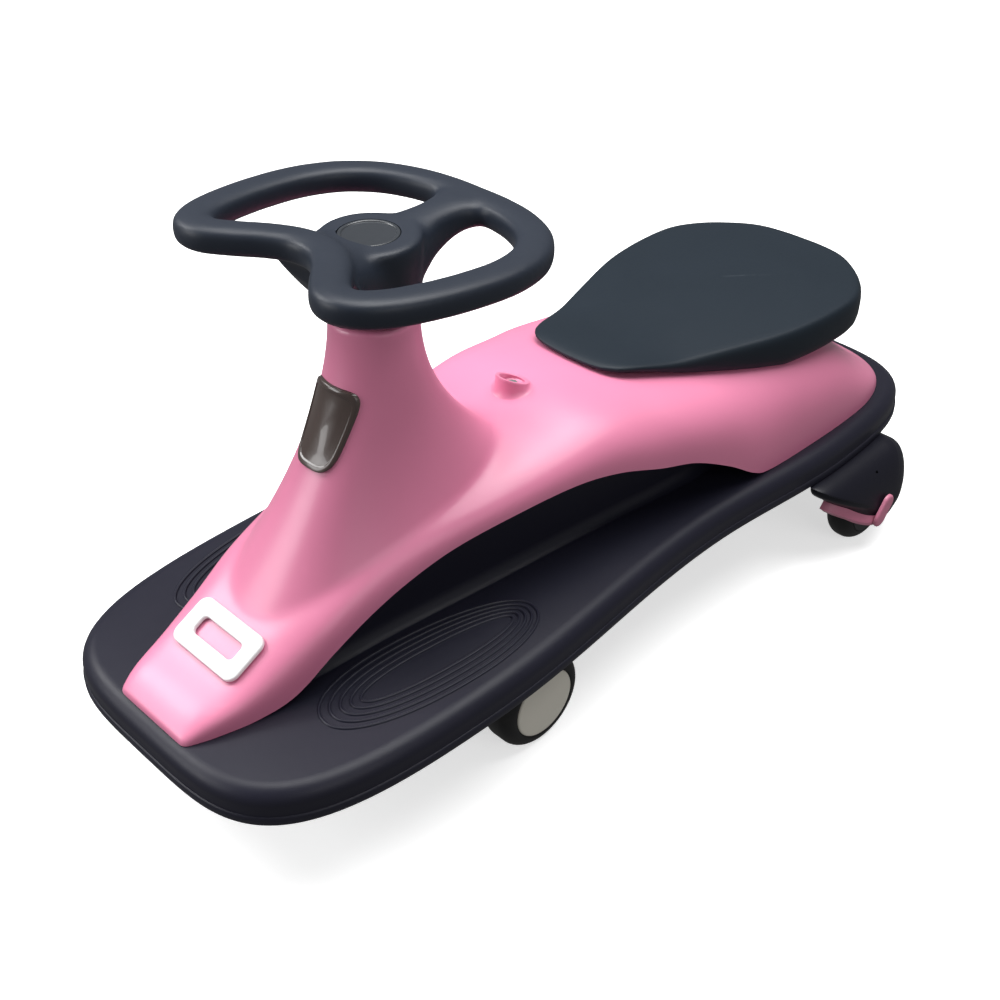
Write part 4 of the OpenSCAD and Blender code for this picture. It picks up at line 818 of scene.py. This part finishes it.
# Cast swollen and drawn back in, so that its inner corners come out round
for name, kind, settings in (("swollen", "REMESH", {"mode": "VOXEL", "voxel_size": 1.8 * MM}),
                             ("drawn", "DISPLACE", {"strength": -fillet * MM, "mid_level": 0.0}),
                             ("cast", "REMESH", {"mode": "VOXEL", "voxel_size": 1.6 * MM}),
                             ("polish", "SMOOTH", {"factor": 0.5, "iterations": 14})):
    change = wheel.modifiers.new(name, kind)
    for key, value in settings.items():
        setattr(change, key, value)
settle(wheel)
cap_r, cap_t, cap_gap, cut_over = 20.5, 4.0, 0.5, 20.0
carve(wheel, rod(cap_r + cap_gap, hub_top - cap_t, hub_top + cut_over, (0, steer_y, 0), 2))
bolt_z, bolt_pocket_r, bolt_pocket_from, bolt_pocket_to = hub_base + 14, 5.3, 28.5, 45.0
for k in (-1, 1):
    carve(wheel, rod(bolt_pocket_r, k * bolt_pocket_from, k * bolt_pocket_to, (0, steer_y, bolt_z), 0, 40))
wheel_plastic = moulded("wheel_plastic", (0.013, 0.018, 0.029), (0.05, 0.06, 0.075), 0.44, 1.0, 0.04,
                        Specular_IOR_Level=0.3)
fit(wheel, steering, "wheel_plastic", wheel_plastic, "steering_wheel", sharp=50)

cap_lift = 0.2
cap_profile = [(0, 0), (cap_r, 0), (cap_r, 3.3), (cap_r - 0.3, 3.8), (cap_r - 0.9, 4), (cap_r - 2, 4),
               (cap_r - 2.5, 3.7), (cap_r - 2.8, 3.2), (cap_r - 3.4, 3.1), (12, 3.4), (6, 3.6), (0, 3.65)]
cap = shaped("hub_cap_moulding", turned(cap_profile, (0, steer_y, hub_top - cap_t + cap_lift), 2))
cap_plastic = moulded("cap_plastic", (0.02, 0.024, 0.03), (0.1, 0.11, 0.12), 0.3, 0.7, 0.02, Coat_Weight=0.2)
fit(cap, steering, "cap_plastic", cap_plastic, "hub_cap")

# Road wheels
# Each wheel is a soft black tyre moulded round a plastic hub that runs on two bearings.
# The front wheels carry a plain warm grey cover disc on their outer side.
front_y, front_r, front_x, front_half_w, front_shoulder = -131.0, 40.5, 114.0, 15.0, 10.0
tyre_bore = 0.72
disc_in, disc_out, disc_r = 11.2, 16.0, 28.5
disc_profile = [(0, disc_in), (disc_r - 0.4, disc_in), (disc_r, disc_in + 0.4), (disc_r, disc_out - 1.4),
                (disc_r - 0.4, disc_out - 0.6), (disc_r - 1.2, disc_out - 0.2),
                (disc_r - 2.4, disc_out - 0.1), (14, disc_out), (0, disc_out)]


def patchy(name, dark, light, patch, low, high, rough, grain, depth, strength, swirl=0.0, **sockets):
    """A finish whose colour and gloss drift in patches, under a fine grain."""
    patch_gloss = 0.2
    material, shader, start = finish_of(name, **sockets)
    place = start.node("TexCoord", out="Object")
    patches = start.noise(place, patch, 5.0)
    fine = start.noise(place, grain, 2.0, swirl)
    bump = start.node("Bump", None, {"Height": fine, "Distance": depth * MM, "Strength": strength})
    link = material.node_tree.links.new
    link(patches.between(low, high).mix(dark + (1,), light + (1,)).socket, shader.inputs["Base Color"])
    link((patches * patch_gloss + rough).socket, shader.inputs["Roughness"])
    link(bump.socket, shader.inputs["Normal"])
    return material


rubber = patchy("tyre_rubber", (0.006, 0.006, 0.007), (0.014, 0.0135, 0.0135), patch=60.0, low=0.42,
                high=0.75, rough=0.45, grain=1400.0, depth=0.04, strength=0.5, Specular_IOR_Level=0.3)
disc_plastic = moulded("disc_plastic", (0.68, 0.65, 0.57), (0.74, 0.72, 0.66), 0.42, 1.2, 0.02)
for side, k in (("left", 1), ("right", -1)):
    for end, x, y, r, half_w, shoulder in (("front", front_x, front_y, front_r, front_half_w, front_shoulder),
                                           ("rear", rear_x, rear_y, rear_r, rear_half_w, rear_shoulder)):
        profile = tyre_profile(r, half_w, shoulder, r * tyre_bore)
        tyre = shaped(end + "_tyre_moulding_" + side, turned(profile, (k * x, y, r), 0, 120))
        fit(tyre, end + "_wheel_" + side, "tyre_rubber", rubber, end + "_tyre_" + side)
    profile = [(p, k * h) for p, h in disc_profile]
    disc = shaped("front_disc_moulding_" + side, turned(profile, (k * front_x, front_y, front_r), 0, 120))
    fit(disc, "front_wheel_" + side, "disc_plastic", disc_plastic, "front_disc_" + side)

# Carrier, bushes and fasteners
# The swing arm, hubs and bushes are plain mouldings; shaft, axles, bearings and fasteners are zinc plated.
# They keep their CAD solids, with the edges broken as tooling leaves them.
zinc = patchy("steel", (0.52, 0.53, 0.55), (0.62, 0.63, 0.64), patch=90.0, low=0.3, high=0.7,
              rough=0.22, grain=900.0, depth=0.02, strength=0.4, swirl=2.0, Metallic=1.0)
hub_plastic = moulded("hub_plastic", (0.012, 0.012, 0.015), (0.04, 0.04, 0.045), 0.45, 0.9, 0.04,
                      Specular_IOR_Level=0.3)
bush_plastic = moulded("bush_plastic", (0.62, 0.62, 0.58), (0.7, 0.7, 0.68), 0.4, 0.8, 0.02)
kept = {"steel": zinc, "hub_plastic": hub_plastic, "bush_plastic": bush_plastic}
cad_weld, edge_w, edge_angle = 0.01, 0.5, math.radians(40)
for subpart in frame["record"]["subparts"]:
    if subpart["material_slot"] in kept:
        part = bpy.data.objects[subpart["node"]]
        part.data.materials.clear()
        part.data.materials.append(kept[subpart["material_slot"]])
        part.modifiers.new("weld", "WELD").merge_threshold = cad_weld * MM
        broken = part.modifiers.new("edges", "BEVEL")
        broken.width = edge_w * MM
        broken.segments = 2
        broken.limit_method = "ANGLE"
        broken.angle_limit = edge_angle
